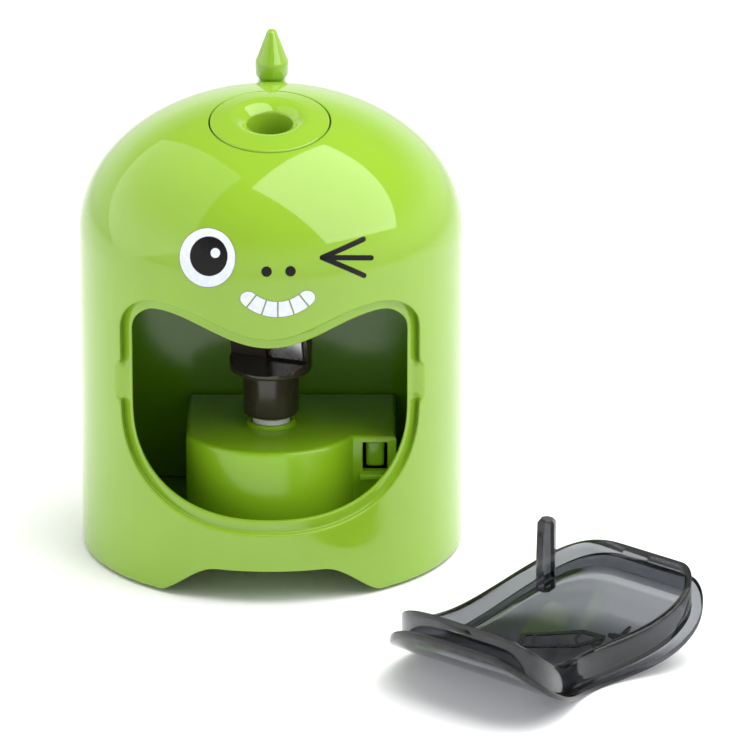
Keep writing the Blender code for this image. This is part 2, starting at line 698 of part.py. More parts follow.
def build_interlock():
    """The button that the cover's post pushes, its spring and its switch."""
    green = lime_plastic("button_lime")
    front = BAY_FRONT_Y + BUTTON_SET_BACK
    back = front + BUTTON_DEPTH
    low, high = BUTTON_Z - BUTTON_H / 2, BUTTON_Z + BUTTON_H / 2
    x = (BUTTON_X - BUTTON_W / 2, BUTTON_X + BUTTON_W / 2)
    button = box("interlock_button", x, (front, back), (low, high), mat=green)
    rounding = button.modifiers.new("rounding", 'BEVEL')
    rounding.width = 0.6 * MM
    rounding.segments = 2
    switch_y = (-7.5, -1.5)
    along_y = Matrix.Translation((0, 0, BUTTON_Z * MM)) @ Matrix.Rotation(-pi / 2, 4, 'X')
    join(button, cylinder("button_stem", 1.0, (back - 1.0, back + BUTTON_STEM), (BUTTON_X, 0.0),
                          segments=12, turn=along_y))
    coil("interlock_spring", (BUTTON_X, 0.0), 1.9, 0.25, back + GAP, switch_y[0] - GAP, 4, steel("spring_a"),
         along=along_y)
    box("interlock_switch", (BUTTON_X - 2.4, BUTTON_X + 2.4), switch_y, (INTERLOCK_LOW_Z + GAP, BUTTON_Z + 2.6),
        mat=black_plastic("switch_black"))


def build_housing():
    """The low green housing over the gears, with the switch bay on its right."""
    lime = lime_plastic("housing_lime")
    housing = plate("motor_housing", [housing_outline(0.0)], ON_FLOOR_Z, HOUSING_TOP_Z, mat=lime)
    hollow = plate("housing_hollow", [housing_outline(HOUSING_WALL)], FLOOR_Z - 2.0,
                   HOUSING_TOP_Z - HOUSING_ROOF)
    gate = box("housing_gate", (-PARTITION_GATE_HALF, PARTITION_GATE_HALF),
               (HOUSING_BACK_Y - 3.0, HOUSING_BACK_Y + 1.0), (FLOOR_Z - 2.0, GATE_TOP_Z))
    cut(housing, hollow, gate)
    collar_gap = SHAFT_R + GAP
    join(housing, cylinder("shaft_boss", collar_gap + 0.7, (HOUSING_TOP_Z - 0.5, HOUSING_TOP_Z + 0.7), CUTTER))
    cut(housing, cylinder("shaft_hole", collar_gap, (HOUSING_TOP_Z - 5.0, HOUSING_TOP_Z + 5.0), CUTTER))
    slot_half = BUTTON_W / 2 + 0.7
    low, high = BUTTON_Z - BUTTON_H / 2 - GAP, BUTTON_Z + BUTTON_H / 2 + GAP
    cut(housing, box("button_slot", (BUTTON_X - slot_half, BUTTON_X + slot_half),
                     (BAY_FRONT_Y - 2.0, BAY_FRONT_Y + HOUSING_WALL + 1.0), (low, high)))
    ledge_half = slot_half + 0.6
    join(housing, box("button_ledge", (BUTTON_X - ledge_half, BUTTON_X + ledge_half),
                      (BAY_FRONT_Y - LEDGE_OUT, BAY_FRONT_Y + 0.5), (low - 1.3, low - 0.1)))


def build_partition():
    """The wall behind the cutter that keeps shavings out of the battery space."""
    green = lime_plastic("partition_lime")
    back = PARTITION_Y + PARTITION_THICK
    wall = box("rear_partition", (-BODY_R, BODY_R), (PARTITION_Y, back), (ON_FLOOR_Z, PARTITION_TOP_Z),
               mat=green)
    keep_inside(wall, dome_solid("partition_trim", BODY_WALL + GAP + 0.2, 1.0))
    cut(wall, box("partition_gate", (-PARTITION_GATE_HALF, PARTITION_GATE_HALF),
                  (PARTITION_Y - 2.0, back + 2.0), (0.0, GATE_TOP_Z)))
    # leaves room round the bosses that take the base screws
    for i, place in boss_places():
        if place[1] > 0:
            cut(wall, cylinder(f"boss_room_{i}", BOSS_R + GAP + 0.2, (0.0, ON_FLOOR_Z + BOSS_H + GAP), place,
                               segments=24))


# ---------------------------------------------------------------- drive

def build_gearbox_plate():
    grey = material("plate_grey", (0.45, 0.45, 0.44), 0.5)
    half = -HOUSING_LEFT_X - HOUSING_WALL - 0.4
    radius = HOUSING_R - HOUSING_WALL - 0.4
    neck = PARTITION_GATE_HALF - 0.5
    start = acos(half / radius)
    turns = [pi + start + (pi - 2 * start) * i / 14 for i in range(15)]
    arc = [(radius * cos(a), CUTTER_Y + radius * sin(a)) for a in turns]
    shoulder_y = HOUSING_BACK_Y - HOUSING_WALL - 0.5
    rear_y = gearbox_posts()[-1][1] + 2.2
    outline = arc + [(half, shoulder_y), (neck, shoulder_y), (neck, rear_y), (-neck, rear_y),
                     (-neck, shoulder_y), (-half, shoulder_y)]
    gear_plate = plate("gearbox_plate", [outline], PLATE_Z, PLATE_Z + PLATE_THICK, mat=grey)
    holes = [(CUTTER, BUSH_R + GAP), (IDLER, AXLE_BORE_R), (MOTOR, MOTOR_NOSE_R + GAP)]
    holes += [(place, 0.9) for place in gearbox_posts()[2:]]
    for i, (place, hole_r) in enumerate(holes, 1):
        cut(gear_plate, cylinder(f"plate_hole_{i}", hole_r, (PLATE_Z - 2.0, PLATE_Z + 4.0), place, segments=24))
    bore = SHAFT_R + 0.25
    low, high = PLATE_Z - 0.7, PLATE_Z + PLATE_THICK + 0.8
    flange_z = PLATE_Z + PLATE_THICK + 0.3
    turned("output_bush", [(BUSH_R + 0.9, high), (BUSH_R + 0.9, flange_z), (BUSH_R, flange_z), (BUSH_R, low),
                           (bore, low), (bore, high)], at=CUTTER, mat=material("bush_brass", (0.55, 0.38, 0.14),
                                                                             0.35, metallic=1.0), ring=True)


def gear(name, teeth, place, low, high, bore, phase, mat):
    return plate(name, [gear_outline(teeth, phase), circle(bore)], low, high, mat=mat, at=place)


def build_gears():
    """Pinion, two-step idler and output gear, in line along Y and meshed at rest."""
    white = white_plastic("gear_white")
    # each pair meshes on the line of centres: a tooth of one faces a gap of the other
    forward, backward = -pi / 2, pi / 2
    big_phase = backward
    small_phase = forward
    pinion_phase = forward + pi / PINION_TEETH
    output_phase = backward + pi / OUTPUT_TEETH
    gear("motor_pinion", PINION_TEETH, MOTOR, LEVEL_A_Z - GAP, LEVEL_B_Z + 0.1, AXLE_BORE_R, pinion_phase,
         material("pinion_brass", (0.55, 0.38, 0.14), 0.35, metallic=1.0))
    idler = gear("idler_gear", IDLER_BIG_TEETH, IDLER, LEVEL_A_Z, LEVEL_B_Z, AXLE_BORE_R, big_phase, white)
    small = plate("idler_small", [gear_outline(IDLER_SMALL_TEETH, small_phase), circle(AXLE_BORE_R)],
                  LEVEL_B_Z - 0.2, LEVEL_B_Z + LEVEL_B_H, at=IDLER)
    join(idler, small)
    gear("output_gear", OUTPUT_TEETH, CUTTER, LEVEL_B_Z + 0.4, LEVEL_B_Z + LEVEL_B_H - 0.1,
         SHAFT_NECK_R + GAP, output_phase, white)
    cylinder("idler_pin", AXLE_R, (ON_FLOOR_Z, GATE_TOP_Z - 0.4), IDLER, mat=steel("pin_steel"),
             segments=16)


def build_shaft():
    """The hollow output shaft, the push rod in it and the start switch under it."""
    neck_z = LEVEL_B_Z + LEVEL_B_H + 0.2
    low = LEVEL_B_Z - 0.1
    turned("output_shaft", [(SHAFT_R - 0.3, SHAFT_TOP_Z), (SHAFT_R, SHAFT_TOP_Z - 0.3), (SHAFT_R, neck_z),
                            (SHAFT_NECK_R, neck_z), (SHAFT_NECK_R, low), (SHAFT_BORE_R, low),
                            (SHAFT_BORE_R, SHAFT_TOP_Z)], at=CUTTER, mat=white_plastic("shaft_white"),
           ring=True)
    metal = steel("rod_steel")
    cylinder("push_rod", ROD_R, (low - 0.1, CARRIER_LOW_Z + CARRIER_WELL_H - GAP), CUTTER, mat=metal,
             segments=20)
    coil("carrier_spring", CUTTER, 2.9, 0.35, SHAFT_TOP_Z + GAP, CARRIER_LOW_Z + CARRIER_WELL_H - GAP, 4.5,
         metal)
    switch_top = ON_FLOOR_Z + 3.2
    half = 3.0
    y = (CUTTER_Y - half, CUTTER_Y + half)
    switch = box("start_switch", (-half, half), y, (ON_FLOOR_Z, switch_top), mat=black_plastic("start_black"))
    well_r = 2.0
    cut(switch, cylinder("switch_well", well_r, (ON_FLOOR_Z + 0.5, switch_top + 1.0), CUTTER, segments=20))
    cylinder("start_plunger", well_r - GAP, (ON_FLOOR_Z + 0.8 + PRESS_TRAVEL, low - 0.1 - GAP), CUTTER,
             mat=white_plastic("plunger_white"), segments=16)


def build_motor():
    tin = steel("motor_steel")
    low = PLATE_Z + PLATE_THICK + GAP
    corner = 4.5
    outline = rounded_rectangle(MOTOR_W / 2, -MOTOR_D / 2, MOTOR_D / 2, corner)
    can = plate("motor_can", [outline], low, low + MOTOR_H, mat=tin, at=MOTOR)
    join(can, cylinder("motor_nose", MOTOR_NOSE_R, (PLATE_Z + 0.2, low + 0.5), MOTOR, segments=24))
    cut(can, cylinder("motor_bore", AXLE_BORE_R, (0.0, low + MOTOR_H + 5.0), MOTOR, segments=20))
    cap_low = low + MOTOR_H + GAP
    cap_outline = rounded_rectangle(MOTOR_W / 2 - 0.5, -MOTOR_D / 2 + 0.5, MOTOR_D / 2 - 0.5, corner)
    cap = plate("motor_end_cap", [cap_outline], cap_low, cap_low + MOTOR_CAP_H, at=MOTOR,
                mat=white_plastic("cap_white"))
    cut(cap, cylinder("cap_bore", AXLE_BORE_R, (cap_low - 1.0, cap_low + MOTOR_CAP_H + 1.0), MOTOR,
                      segments=20))
    cylinder("motor_shaft", AXLE_R, (LEVEL_A_Z - 0.6, cap_low + MOTOR_CAP_H + 1.0), MOTOR,
             mat=steel("motor_shaft_steel"), segments=16)


# ---------------------------------------------------------------- cutter

def build_cutter():
    """The spinning carrier with a conical seat for the pencil and the blade along that cone."""
    smoke = smoke_plastic("carrier_smoke")
    well_z = CARRIER_LOW_Z + CARRIER_WELL_H
    edge = 0.8
    profile = [(0.0, CARRIER_TOP_Z), (CARRIER_R - edge, CARRIER_TOP_Z), (CARRIER_R, CARRIER_TOP_Z - edge),
               (CARRIER_R, CARRIER_STEP_Z + edge), (CARRIER_R - edge, CARRIER_STEP_Z),
               (CARRIER_LOW_R, CARRIER_STEP_Z - 1.0), (CARRIER_LOW_R, CARRIER_LOW_Z + edge),
               (CARRIER_LOW_R - edge, CARRIER_LOW_Z), (0.0, CARRIER_LOW_Z)]
    carrier = turned("cutter_carrier", profile, at=CUTTER, mat=smoke, steps=36)
    seat = turned("pencil_seat", [(0.0, CARRIER_TOP_Z + 1.0), (CONE_TOP_R + 0.5, CARRIER_TOP_Z + 1.0),
                                  (CONE_TOP_R, CARRIER_TOP_Z - 1.0), (CONE_TIP_R, CONE_TIP_Z),
                                  (0.0, CONE_TIP_Z)], at=CUTTER, steps=32)
    well = cylinder("carrier_well", CARRIER_WELL_R, (CARRIER_LOW_Z - 1.0, well_z), CUTTER, segments=28)
    cut(carrier, seat, well)

    # frame of the blade: x along the edge's normal in its face, y up the cone's side, z outwards
    rise = CARRIER_TOP_Z - 1.0 - CONE_TIP_Z
    lean = Vector((0.0, CONE_TOP_R - CONE_TIP_R, rise)).normalized()
    out = Vector((0.0, lean.z, -lean.y))
    across = out.cross(lean) * -1
    spin = Matrix.Rotation(BLADE_TURN + pi, 4, 'Z')
    middle_z = (CONE_TIP_Z + CARRIER_TOP_Z) / 2 - 0.5
    radius = CONE_TIP_R + (CONE_TOP_R - CONE_TIP_R) * (middle_z - CONE_TIP_Z) / rise
    frame = Matrix((across, lean, out)).transposed().to_4x4()
    face = spin @ Matrix.Translation(Vector((0.0, radius, middle_z)) * MM) @ frame

    half = 8.4
    at = (*CUTTER, 0.0)
    window = box("blade_window", (-14.0, 14.0), (-half, half), (-SLIT_DEPTH, 12.0), turn=face, at=at)
    cut(carrier, window)
    low = GAP - SLIT_DEPTH
    blade = box("cutter_blade", (-0.3, BLADE_W), (-half + 0.6, half - 0.6), (low, low + BLADE_T), turn=face,
                at=at, mat=steel("blade_steel"))
    screw_at = face @ Matrix.Translation(Vector((4.6, 0.0, 0.0)) * MM)
    pilot = cylinder("blade_pilot", 1.1, (-3.4, 3.0), at, segments=16, turn=screw_at)
    blade_hole = cylinder("blade_hole", 1.2, (-3.0, 3.0), at, segments=16, turn=screw_at)
    cut(carrier, pilot)
    cut(blade, blade_hole)
    top = low + BLADE_T + GAP
    shank = cylinder("blade_screw", 0.8, (-2.8, top + 0.5), at, mat=steel("blade_screw_steel"), segments=16,
                     turn=screw_at)
    join(shank, cylinder("blade_screw_head", 1.9, (top, top + 0.9), at, segments=20, turn=screw_at))


# ---------------------------------------------------------------- power

def build_power():
    """Two AA cells in their cradles, with contacts, behind the partition."""
    dark = black_plastic("cradle_black")
    spring_steel = steel("contact_steel")
    floor_z = ON_FLOOR_Z + CRADLE_FLOOR
    for side, sign in (("left", -1), ("right", 1)):
        place = (sign * CELL_AT[0], CELL_AT[1])
        inner_r = CELL_R + GAP + 0.05
        cradle = cylinder(f"cell_cradle_{side}", inner_r + CRADLE_WALL, (ON_FLOOR_Z, ON_FLOOR_Z + CRADLE_H),
                          place, mat=dark, segments=36)
        pocket = cylinder(f"cradle_pocket_{side}", inner_r, (floor_z, ON_FLOOR_Z + CRADLE_H + 1.0), place,
                          segments=36)
        open_side = box(f"cradle_opening_{side}", (place[0] - 12.0, place[0] + 12.0),
                        (place[1] + 1.0, place[1] + 14.0), (floor_z, ON_FLOOR_Z + CRADLE_H + 1.0))
        cut(cradle, pocket, open_side)
        keep_inside(cradle, cylinder(f"cradle_trim_{side}", INNER_R - GAP - 0.1, (1.0, 90.0),
                                     segments=BODY_STEPS))
    low = floor_z + GAP
    build_cell("cell_left", (-CELL_AT[0], CELL_AT[1]), low + CONTACT_SPRING_H + 0.2, nub_up=True)
    build_cell("cell_right", CELL_AT, low + CONTACT_T + GAP, nub_up=False)
    coil("cell_spring_left", (-CELL_AT[0], CELL_AT[1]), CONTACT_SPRING_R, CONTACT_WIRE_R, low,
         low + CONTACT_SPRING_H, 2.5, spring_steel)
    bridge_z = ON_FLOOR_Z + CRADLE_H + GAP
    coil("cell_spring_right", CELL_AT, CONTACT_SPRING_R, CONTACT_WIRE_R,
         low + CONTACT_T + 2 * GAP + CELL_BODY + CELL_NUB_H, bridge_z - GAP, 2.5, spring_steel)
    cylinder("contact_plate", 4.5, (low, low + CONTACT_T), CELL_AT, mat=spring_steel, segments=24)
    half = 5.0
    box("contact_bridge", (-CELL_AT[0] - half, CELL_AT[0] + half), (CELL_AT[1] - 4.0, CELL_AT[1] + 3.0),
        (bridge_z, bridge_z + CONTACT_T), mat=spring_steel)


def build_cell(name, place, low, nub_up):
    """An AA cell, standing on its flat end or on its positive end."""
    edge = 0.6
    body = [(CELL_NUB_R, CELL_BODY), (CELL_R - edge, CELL_BODY), (CELL_R, CELL_BODY - edge), (CELL_R, edge),
            (CELL_R - edge, 0.0), (0.0, 0.0)]
    profile = [(0.0, CELL_BODY + CELL_NUB_H), (CELL_NUB_R, CELL_BODY + CELL_NUB_H)] + body
    total = CELL_BODY + CELL_NUB_H
    if not nub_up:
        profile = [(r, total - z) for r, z in reversed(profile)]
    profile = [(r, z + low) for r, z in profile]
    turned(name, profile, at=place, mat=material(name + "_label", (0.05, 0.05, 0.06), 0.35, metallic=0.4),
           steps=24)


def build_door():
    """The curved door over the cells, which pulls off backwards."""
    lime = lime_plastic("door_lime")
    skin_r = BODY_R - DOOR_SKIN
    high, low = DOOR_HIGH_Z + 4.0, DOOR_LOW_Z - 4.0
    door = turned("battery_door", [(BODY_R, high), (BODY_R, low), (skin_r, low), (skin_r, high)], mat=lime,
                  steps=BODY_STEPS, ring=True)
    outline = rounded_rectangle(DOOR_HALF, DOOR_LOW_Z, DOOR_HIGH_Z, DOOR_CORNER, inset=GAP)
    keep_inside(door, plate("door_outline", [outline], 10.0, BODY_R + 5.0, upright=True))


# ---------------------------------------------------------------- whole

def footprint():
    """The lowest and highest corners of every part, as built."""
    bpy.context.view_layer.update()
    depsgraph = bpy.context.evaluated_depsgraph_get()
    low = Vector((1e9, 1e9, 1e9))
    high = -low
    for obj in parts.objects:
        seen = obj.evaluated_get(depsgraph)
        mesh = seen.to_mesh()
        for vertex in mesh.vertices:
            point = seen.matrix_world @ vertex.co
            low = Vector(map(min, low, point))
            high = Vector(map(max, high, point))
        seen.to_mesh_clear()
    return low, high


def main():
    global root, parts, cutters
    for obj in list(bpy.data.objects):
        bpy.data.objects.remove(obj, do_unlink=True)
    parts = bpy.data.collections.new("pencil_sharpener")
    cutters = bpy.data.collections.new("cutters")
    for collection in (parts, cutters):
        bpy.context.scene.collection.children.link(collection)
    root = bpy.data.objects.new("sharpener_frame", None)
    cutters.objects.link(root)

    build_body()
    build_guide()
    build_spike()
    build_cover()
    build_base()
    build_screws()
    build_interlock()
    build_housing()
    build_partition()
    build_gearbox_plate()
    build_gears()
    build_shaft()
    build_motor()
    build_cutter()
    build_power()
    build_door()

    low, high = footprint()
    root.location = Vector((-(low.x + high.x) / 2, -(low.y + high.y) / 2, -low.z))


main()
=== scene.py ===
"""Looks of the battery pencil sharpener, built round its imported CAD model.

Lengths are in millimetres, measured from the body's axis on the table, and are turned into metres
by the mesh helpers. The front is -Y. The cover's shape is drawn as it sits in the body, and is then
laid on the table with the same turn as its CAD solid.
"""

from math import acos, cos, hypot, pi, radians, sin, sqrt

import bmesh
import bpy
import numpy as np
from mathutils import Matrix, Vector


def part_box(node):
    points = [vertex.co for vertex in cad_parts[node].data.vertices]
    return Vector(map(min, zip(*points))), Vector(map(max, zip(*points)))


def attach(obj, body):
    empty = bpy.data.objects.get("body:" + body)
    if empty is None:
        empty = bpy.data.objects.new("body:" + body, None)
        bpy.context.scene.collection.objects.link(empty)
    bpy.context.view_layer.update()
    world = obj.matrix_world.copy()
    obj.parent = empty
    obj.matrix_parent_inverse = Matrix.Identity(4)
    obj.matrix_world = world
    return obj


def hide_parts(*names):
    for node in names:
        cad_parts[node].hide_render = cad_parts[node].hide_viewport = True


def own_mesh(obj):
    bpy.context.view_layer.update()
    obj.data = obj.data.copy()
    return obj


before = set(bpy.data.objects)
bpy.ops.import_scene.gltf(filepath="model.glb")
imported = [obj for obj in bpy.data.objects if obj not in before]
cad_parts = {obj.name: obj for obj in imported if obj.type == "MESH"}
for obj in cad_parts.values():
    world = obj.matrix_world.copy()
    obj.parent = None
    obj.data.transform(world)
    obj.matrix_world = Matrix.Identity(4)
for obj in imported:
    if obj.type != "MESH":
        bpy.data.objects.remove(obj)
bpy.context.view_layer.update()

MM = 0.001
body_low, body_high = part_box("body_shell")
AXIS = Vector(((body_low[0] + body_high[0]) / 2, (body_low[1] + body_high[1]) / 2, 0.0))

# Body
BODY_R = (body_high[0] - body_low[0]) / 2 / MM
WALL = 2.2
RIM_Z = body_low[2] / MM
SHOULDER_Z = 68.4
DOME_H = 29.2
ARCH_H = 7.2
ARCH_FLAT = 11.0
ARCH_HALF = 25.5
ROUND_STEPS = 180

# Front opening
OPEN_HALF = 30.6
OPEN_LOW_Z = 15.2
OPEN_SIDE_Z = 40.0
OPEN_ROUND = 2.5
OPEN_HUMP_Z = 63.3
OPEN_HUMP_X = 22.3
OPEN_SAG = 5.9
OPEN_CORNER = 8.0
LEDGE = 2.4
LEDGE_DEPTH = 1.5
LIP_ROUND = 0.55
SCOOP_Z = (39.4, 47.6)         # finger recess in both sides
SCOOP_OUT = 1.0
TOP_NARROW = 0.2                # how much narrower the ledge is along the wavy top
FRAME_OUT = 2.4                # reach of the frame into the body's face

# Cover
COVER_SKIN = 1.2
COVER_WALL = 1.4
COVER_WALL_H = 6.2
COVER_GAP = 0.3
COVER_HEADING = radians(318.4)
COVER_ROLL = radians(-0.3)
COVER_AT = (54.5, -75.8)
COVER_MID_Z = 41.0
POST_AT = (21.6, 24.65)
POST_ACROSS = (4.1, 3.5)
POST_TIP_Y = -17.55

# Pencil guide and cutter axis
CUTTER_Y = -10.6
GUIDE_R = 12.3
GUIDE_SEAM = 0.3
THROAT_R = 4.7
FUNNEL_R = 8.6

# Housing
HOUSING_TOP_Z = 29.2
HOUSING_R = 19.0
HOUSING_LEFT_X = -17.6
HOUSING_RIGHT_X = 26.0
HOUSING_BACK_Y = 7.4
HOUSING_WALL = 1.8
BAY_FRONT_Y = -19.0
HOUSING_LOW_Z = 10.3
BUTTON_X = 21.6
BUTTON_Z = 24.65
BUTTON_W = 3.8
BUTTON_H = 5.8
COLLAR_R = 3.9

WHOLE_TURN = 2 * pi


# ---------------------------------------------------------------- materials

class Nodes:
    """A small helper that adds and links shader nodes of one material."""

    def __init__(self, name):
        self.material = bpy.data.materials.new(name)
        self.material.use_nodes = True
        self.tree = self.material.node_tree
        self.shader = self.tree.nodes["Principled BSDF"]

    def add(self, kind, **settings):
        node = self.tree.nodes.new(kind)
        for key, value in settings.items():
            if key in node.inputs:
                node.inputs[key].default_value = value
            else:
                setattr(node, key, value)
        return node

    def link(self, source, target):
        self.tree.links.new(source, target)

    def set(self, **values):
        for key, value in values.items():
            self.shader.inputs[key.replace("_", " ")].default_value = value

    def place(self):
        return self.add("ShaderNodeTexCoord").outputs["Object"]

    def noise(self, scale, detail=3.0, roughness=0.5):
        node = self.add("ShaderNodeTexNoise", Scale=scale, Detail=detail, Roughness=roughness)
        self.link(self.place(), node.inputs["Vector"])
        return node.outputs["Fac"]

    def ramp(self, source, stops):
        node = self.add("ShaderNodeValToRGB")
        elements = node.color_ramp.elements
        while len(elements) < len(stops):
            elements.new(0.5)
        for element, (position, colour) in zip(elements, stops):
            element.position = position
            element.color = (*colour, 1.0)
        self.link(source, node.inputs["Fac"])
        return node.outputs["Color"]

    def span(self, source, low, high):
        node = self.add("ShaderNodeMapRange")
        node.inputs["To Min"].default_value = low
        node.inputs["To Max"].default_value = high
        self.link(source, node.inputs["Value"])
        return node.outputs["Result"]

    def bump(self, source, strength, distance):
        node = self.add("ShaderNodeBump", Strength=strength, Distance=distance)
        self.link(source, node.inputs["Height"])
        self.link(node.outputs["Normal"], self.shader.inputs["Normal"])


def srgb(*levels):
    """Display levels 0 to 255 as linear colour."""
    values = [level / 255 for level in levels]
    return tuple(v / 12.92 if v <= 0.04045 else ((v + 0.055) / 1.055) ** 2.4 for v in values)


def moulded(name, colour, rough, variation=0.04, ripple=0.02, grain=0.0, coat=0.0):
    """Moulded plastic: slight flow variation in colour and gloss, long ripples and an optional fine grain."""
    nodes = Nodes(name)
    shade = nodes.noise(38.0, 2.0)
    dark = tuple(c * (1 - variation) for c in colour)
    light = tuple(min(1.0, c * (1 + variation)) for c in colour)
    nodes.link(nodes.ramp(shade, [(0.35, dark), (0.65, light)]), nodes.shader.inputs["Base Color"])
    scuff = nodes.noise(160.0, 5.0, 0.65)
    nodes.link(nodes.span(scuff, rough * 0.8, rough * 1.25), nodes.shader.inputs["Roughness"])
    height = nodes.noise(900.0, 2.0) if grain else nodes.noise(24.0, 1.0)
    nodes.bump(height, grain or ripple, 0.0004)
    nodes.set(Coat_Weight=coat, Coat_Roughness=0.04, IOR=1.52)
    return nodes.material


def smoke(name, tint, deep, density, rough):
    """Clear tinted plastic that gets darker with thickness; its base colour is darker on the skin inside the rim
    wall.
    """
    nodes = Nodes(name)
    nodes.set(IOR=1.5, Transmission_Weight=1.0, Specular_IOR_Level=0.5)
    share = nodes.add("ShaderNodeAttribute", attribute_name="inside_wall").outputs["Fac"]
    nodes.link(nodes.ramp(share, [(0.0, tint), (1.0, deep)]), nodes.shader.inputs["Base Color"])
    smear = nodes.noise(60.0, 4.0, 0.6)
    nodes.link(nodes.span(smear, rough * 0.5, rough * 1.8), nodes.shader.inputs["Roughness"])
    nodes.bump(nodes.noise(30.0, 1.0), 0.03, 0.0004)
    volume = nodes.add("ShaderNodeVolumeAbsorption", Density=density)
    volume.inputs["Color"].default_value = (0.42, 0.43, 0.46, 1.0)
    nodes.link(volume.outputs["Volume"], nodes.tree.nodes["Material Output"].inputs["Volume"])
    return nodes.material


def metal(name, colour, rough, brushed=0.0):
    nodes = Nodes(name)
    nodes.set(Base_Color=(*colour, 1.0), Metallic=1.0)
    wear = nodes.noise(420.0, 4.0, 0.6)
    nodes.link(nodes.span(wear, rough * 0.7, rough * 1.4), nodes.shader.inputs["Roughness"])
    nodes.bump(nodes.noise(1500.0, 2.0), brushed or 0.03, 0.0001)
    return nodes.material


def ink(name, colour, specular=0.5):
    """Pad-printed ink: nearly flat, a little less glossy than the plastic round it."""
    nodes = Nodes(name)
    nodes.set(Specular_IOR_Level=specular)
    speck = nodes.noise(700.0, 3.0)
    dark = tuple(c * 0.95 for c in colour)
    nodes.link(nodes.ramp(speck, [(0.4, dark), (0.6, colour)]), nodes.shader.inputs["Base Color"])
    nodes.link(nodes.span(speck, 0.22, 0.32), nodes.shader.inputs["Roughness"])
    return nodes.material


LIME = moulded("lime_abs", srgb(134, 174, 41), 0.06, variation=0.03, ripple=0.03, coat=0.3)
# inner lime: a rougher finish, and a darker green that is painted shade of the closed chamber
LIME_INNER_SHADED = moulded("lime_abs_inner_painted_shade", srgb(92, 140, 14), 0.14, variation=0.05, ripple=0.05)
LIME_SATIN = moulded("lime_abs_satin", srgb(140, 188, 30), 0.20, variation=0.05, ripple=0.03)
BASE_GREEN = moulded("base_abs", srgb(112, 150, 30), 0.42, variation=0.05, grain=0.18)
SMOKE = smoke("smoke_polystyrene", (0.52, 0.53, 0.55), (0.20, 0.21, 0.23), 900.0, 0.05)
CARRIER = moulded("carrier_polycarbonate", srgb(50, 44, 36), 0.16, variation=0.12, ripple=0.05)
WHITE = moulded("white_acetal", srgb(226, 228, 224), 0.36, variation=0.02, grain=0.05)
BLACK = moulded("black_nylon", srgb(28, 28, 29), 0.42, variation=0.06, grain=0.15)
GREY = moulded("grey_nylon", srgb(150, 150, 148), 0.45, variation=0.04, grain=0.12)
RUBBER = moulded("foot_rubber", srgb(34, 34, 35), 0.75, variation=0.08, grain=0.4)
BRASS = metal("turned_brass", srgb(206, 172, 98), 0.28, brushed=0.06)
STEEL = metal("bright_steel", srgb(188, 188, 190), 0.26, brushed=0.08)
SPRING = metal("spring_steel", srgb(196, 196, 200), 0.20)
ZINC = metal("zinc_steel", srgb(178, 180, 182), 0.36, brushed=0.14)
INK_WHITE = ink("ink_white", srgb(222, 228, 240))
INK_BLACK = ink("ink_black", srgb(9, 8, 9), specular=0.3)
INK_EDGE = ink("ink_edge", srgb(118, 140, 74))
INK_DARK = ink("emblem_dark", srgb(22, 23, 25))


# ---------------------------------------------------------------- meshes

def make(name, points, faces, material, body, place=None, smooth=radians(32)):
    """A piece from its points (mm, from the body's axis), carried by a CAD body."""
    mesh = bpy.data.meshes.new(name)
    mesh.from_pydata([tuple(p) for p in points], [], faces)
    obj = bpy.data.objects.new(name, mesh)
    bpy.context.scene.collection.objects.link(obj)
    bm = bmesh.new()
    bm.from_mesh(mesh)
    bmesh.ops.remove_doubles(bm, verts=bm.verts, dist=0.0005)
    bmesh.ops.dissolve_degenerate(bm, edges=bm.edges, dist=0.0005)
    bmesh.ops.recalc_face_normals(bm, faces=bm.faces)
    if bm.calc_volume(signed=True) < 0:
        bmesh.ops.reverse_faces(bm, faces=bm.faces)
    bmesh.ops.transform(bm, matrix=to_metres(place), verts=bm.verts)
    bm.to_mesh(mesh)
    bm.free()
    finish_mesh(obj, material, smooth)
    if body:
        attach(obj, body)
    return obj


def stand_for(piece, body, node):
    """The piece rides on a body and hides a CAD node."""
    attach(piece, body)
    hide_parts(node)


def cut_finish(piece, cuts, material, smooth=radians(32)):
    """Cut tools out of a piece and give it its material."""
    apply_booleans(piece, [('DIFFERENCE', tool) for tool in cuts])
    finish_mesh(piece, material, smooth)


def to_metres(place=None):
    return Matrix.Translation(AXIS) @ Matrix.Scale(MM, 4) @ (place or Matrix())


def finish_mesh(obj, material, smooth=radians(32)):
    obj.data.shade_smooth()
    obj.data.set_sharp_from_angle(angle=smooth)
    obj.data.materials.clear()
    obj.data.materials.append(material)


def grid_faces(rows, columns, wrap_rows=False, wrap_columns=False):
    faces = []
    for i in range(rows if wrap_rows else rows - 1):
        for j in range(columns if wrap_columns else columns - 1):
            a, b = i * columns + j, i * columns + (j + 1) % columns
            c, d = ((i + 1) % rows) * columns + (j + 1) % columns, ((i + 1) % rows) * columns + j
            faces.append((a, b, c, d))
    return faces


def loft(name, loops, material=LIME, body=None, place=None, cap=True, ring=False, smooth=radians(32)):
    """A closed solid through loops of equally many points; capped, or closed end to end as a ring."""
    count = len(loops[0])
    points = [p for loop in loops for p in loop]
    faces = grid_faces(len(loops), count, wrap_rows=ring, wrap_columns=True)
    if cap and not ring:
        faces.append(tuple(reversed(range(count))))
        faces.append(tuple(range((len(loops) - 1) * count, len(loops) * count)))
    return make(name, points, faces, material, body, place, smooth)


def circle(radius, z, at=(0.0, 0.0), steps=64, stretch=1.0):
    """A level ring of points, stretched along Y if asked."""
    angles = [WHOLE_TURN * j / steps for j in range(steps)]
    return [(at[0] + radius * cos(a), at[1] + radius * stretch * sin(a), z) for a in angles]


def turned(name, profile, at, material=LIME, body=None, steps=64, ring=False, place=None, smooth=radians(32)):
    """A turned piece from its (radius, z) profile."""
    loops = [circle(radius, z, at, steps) for radius, z in profile]
    return loft(name, loops, material, body, place, cap=True, ring=ring, smooth=smooth)


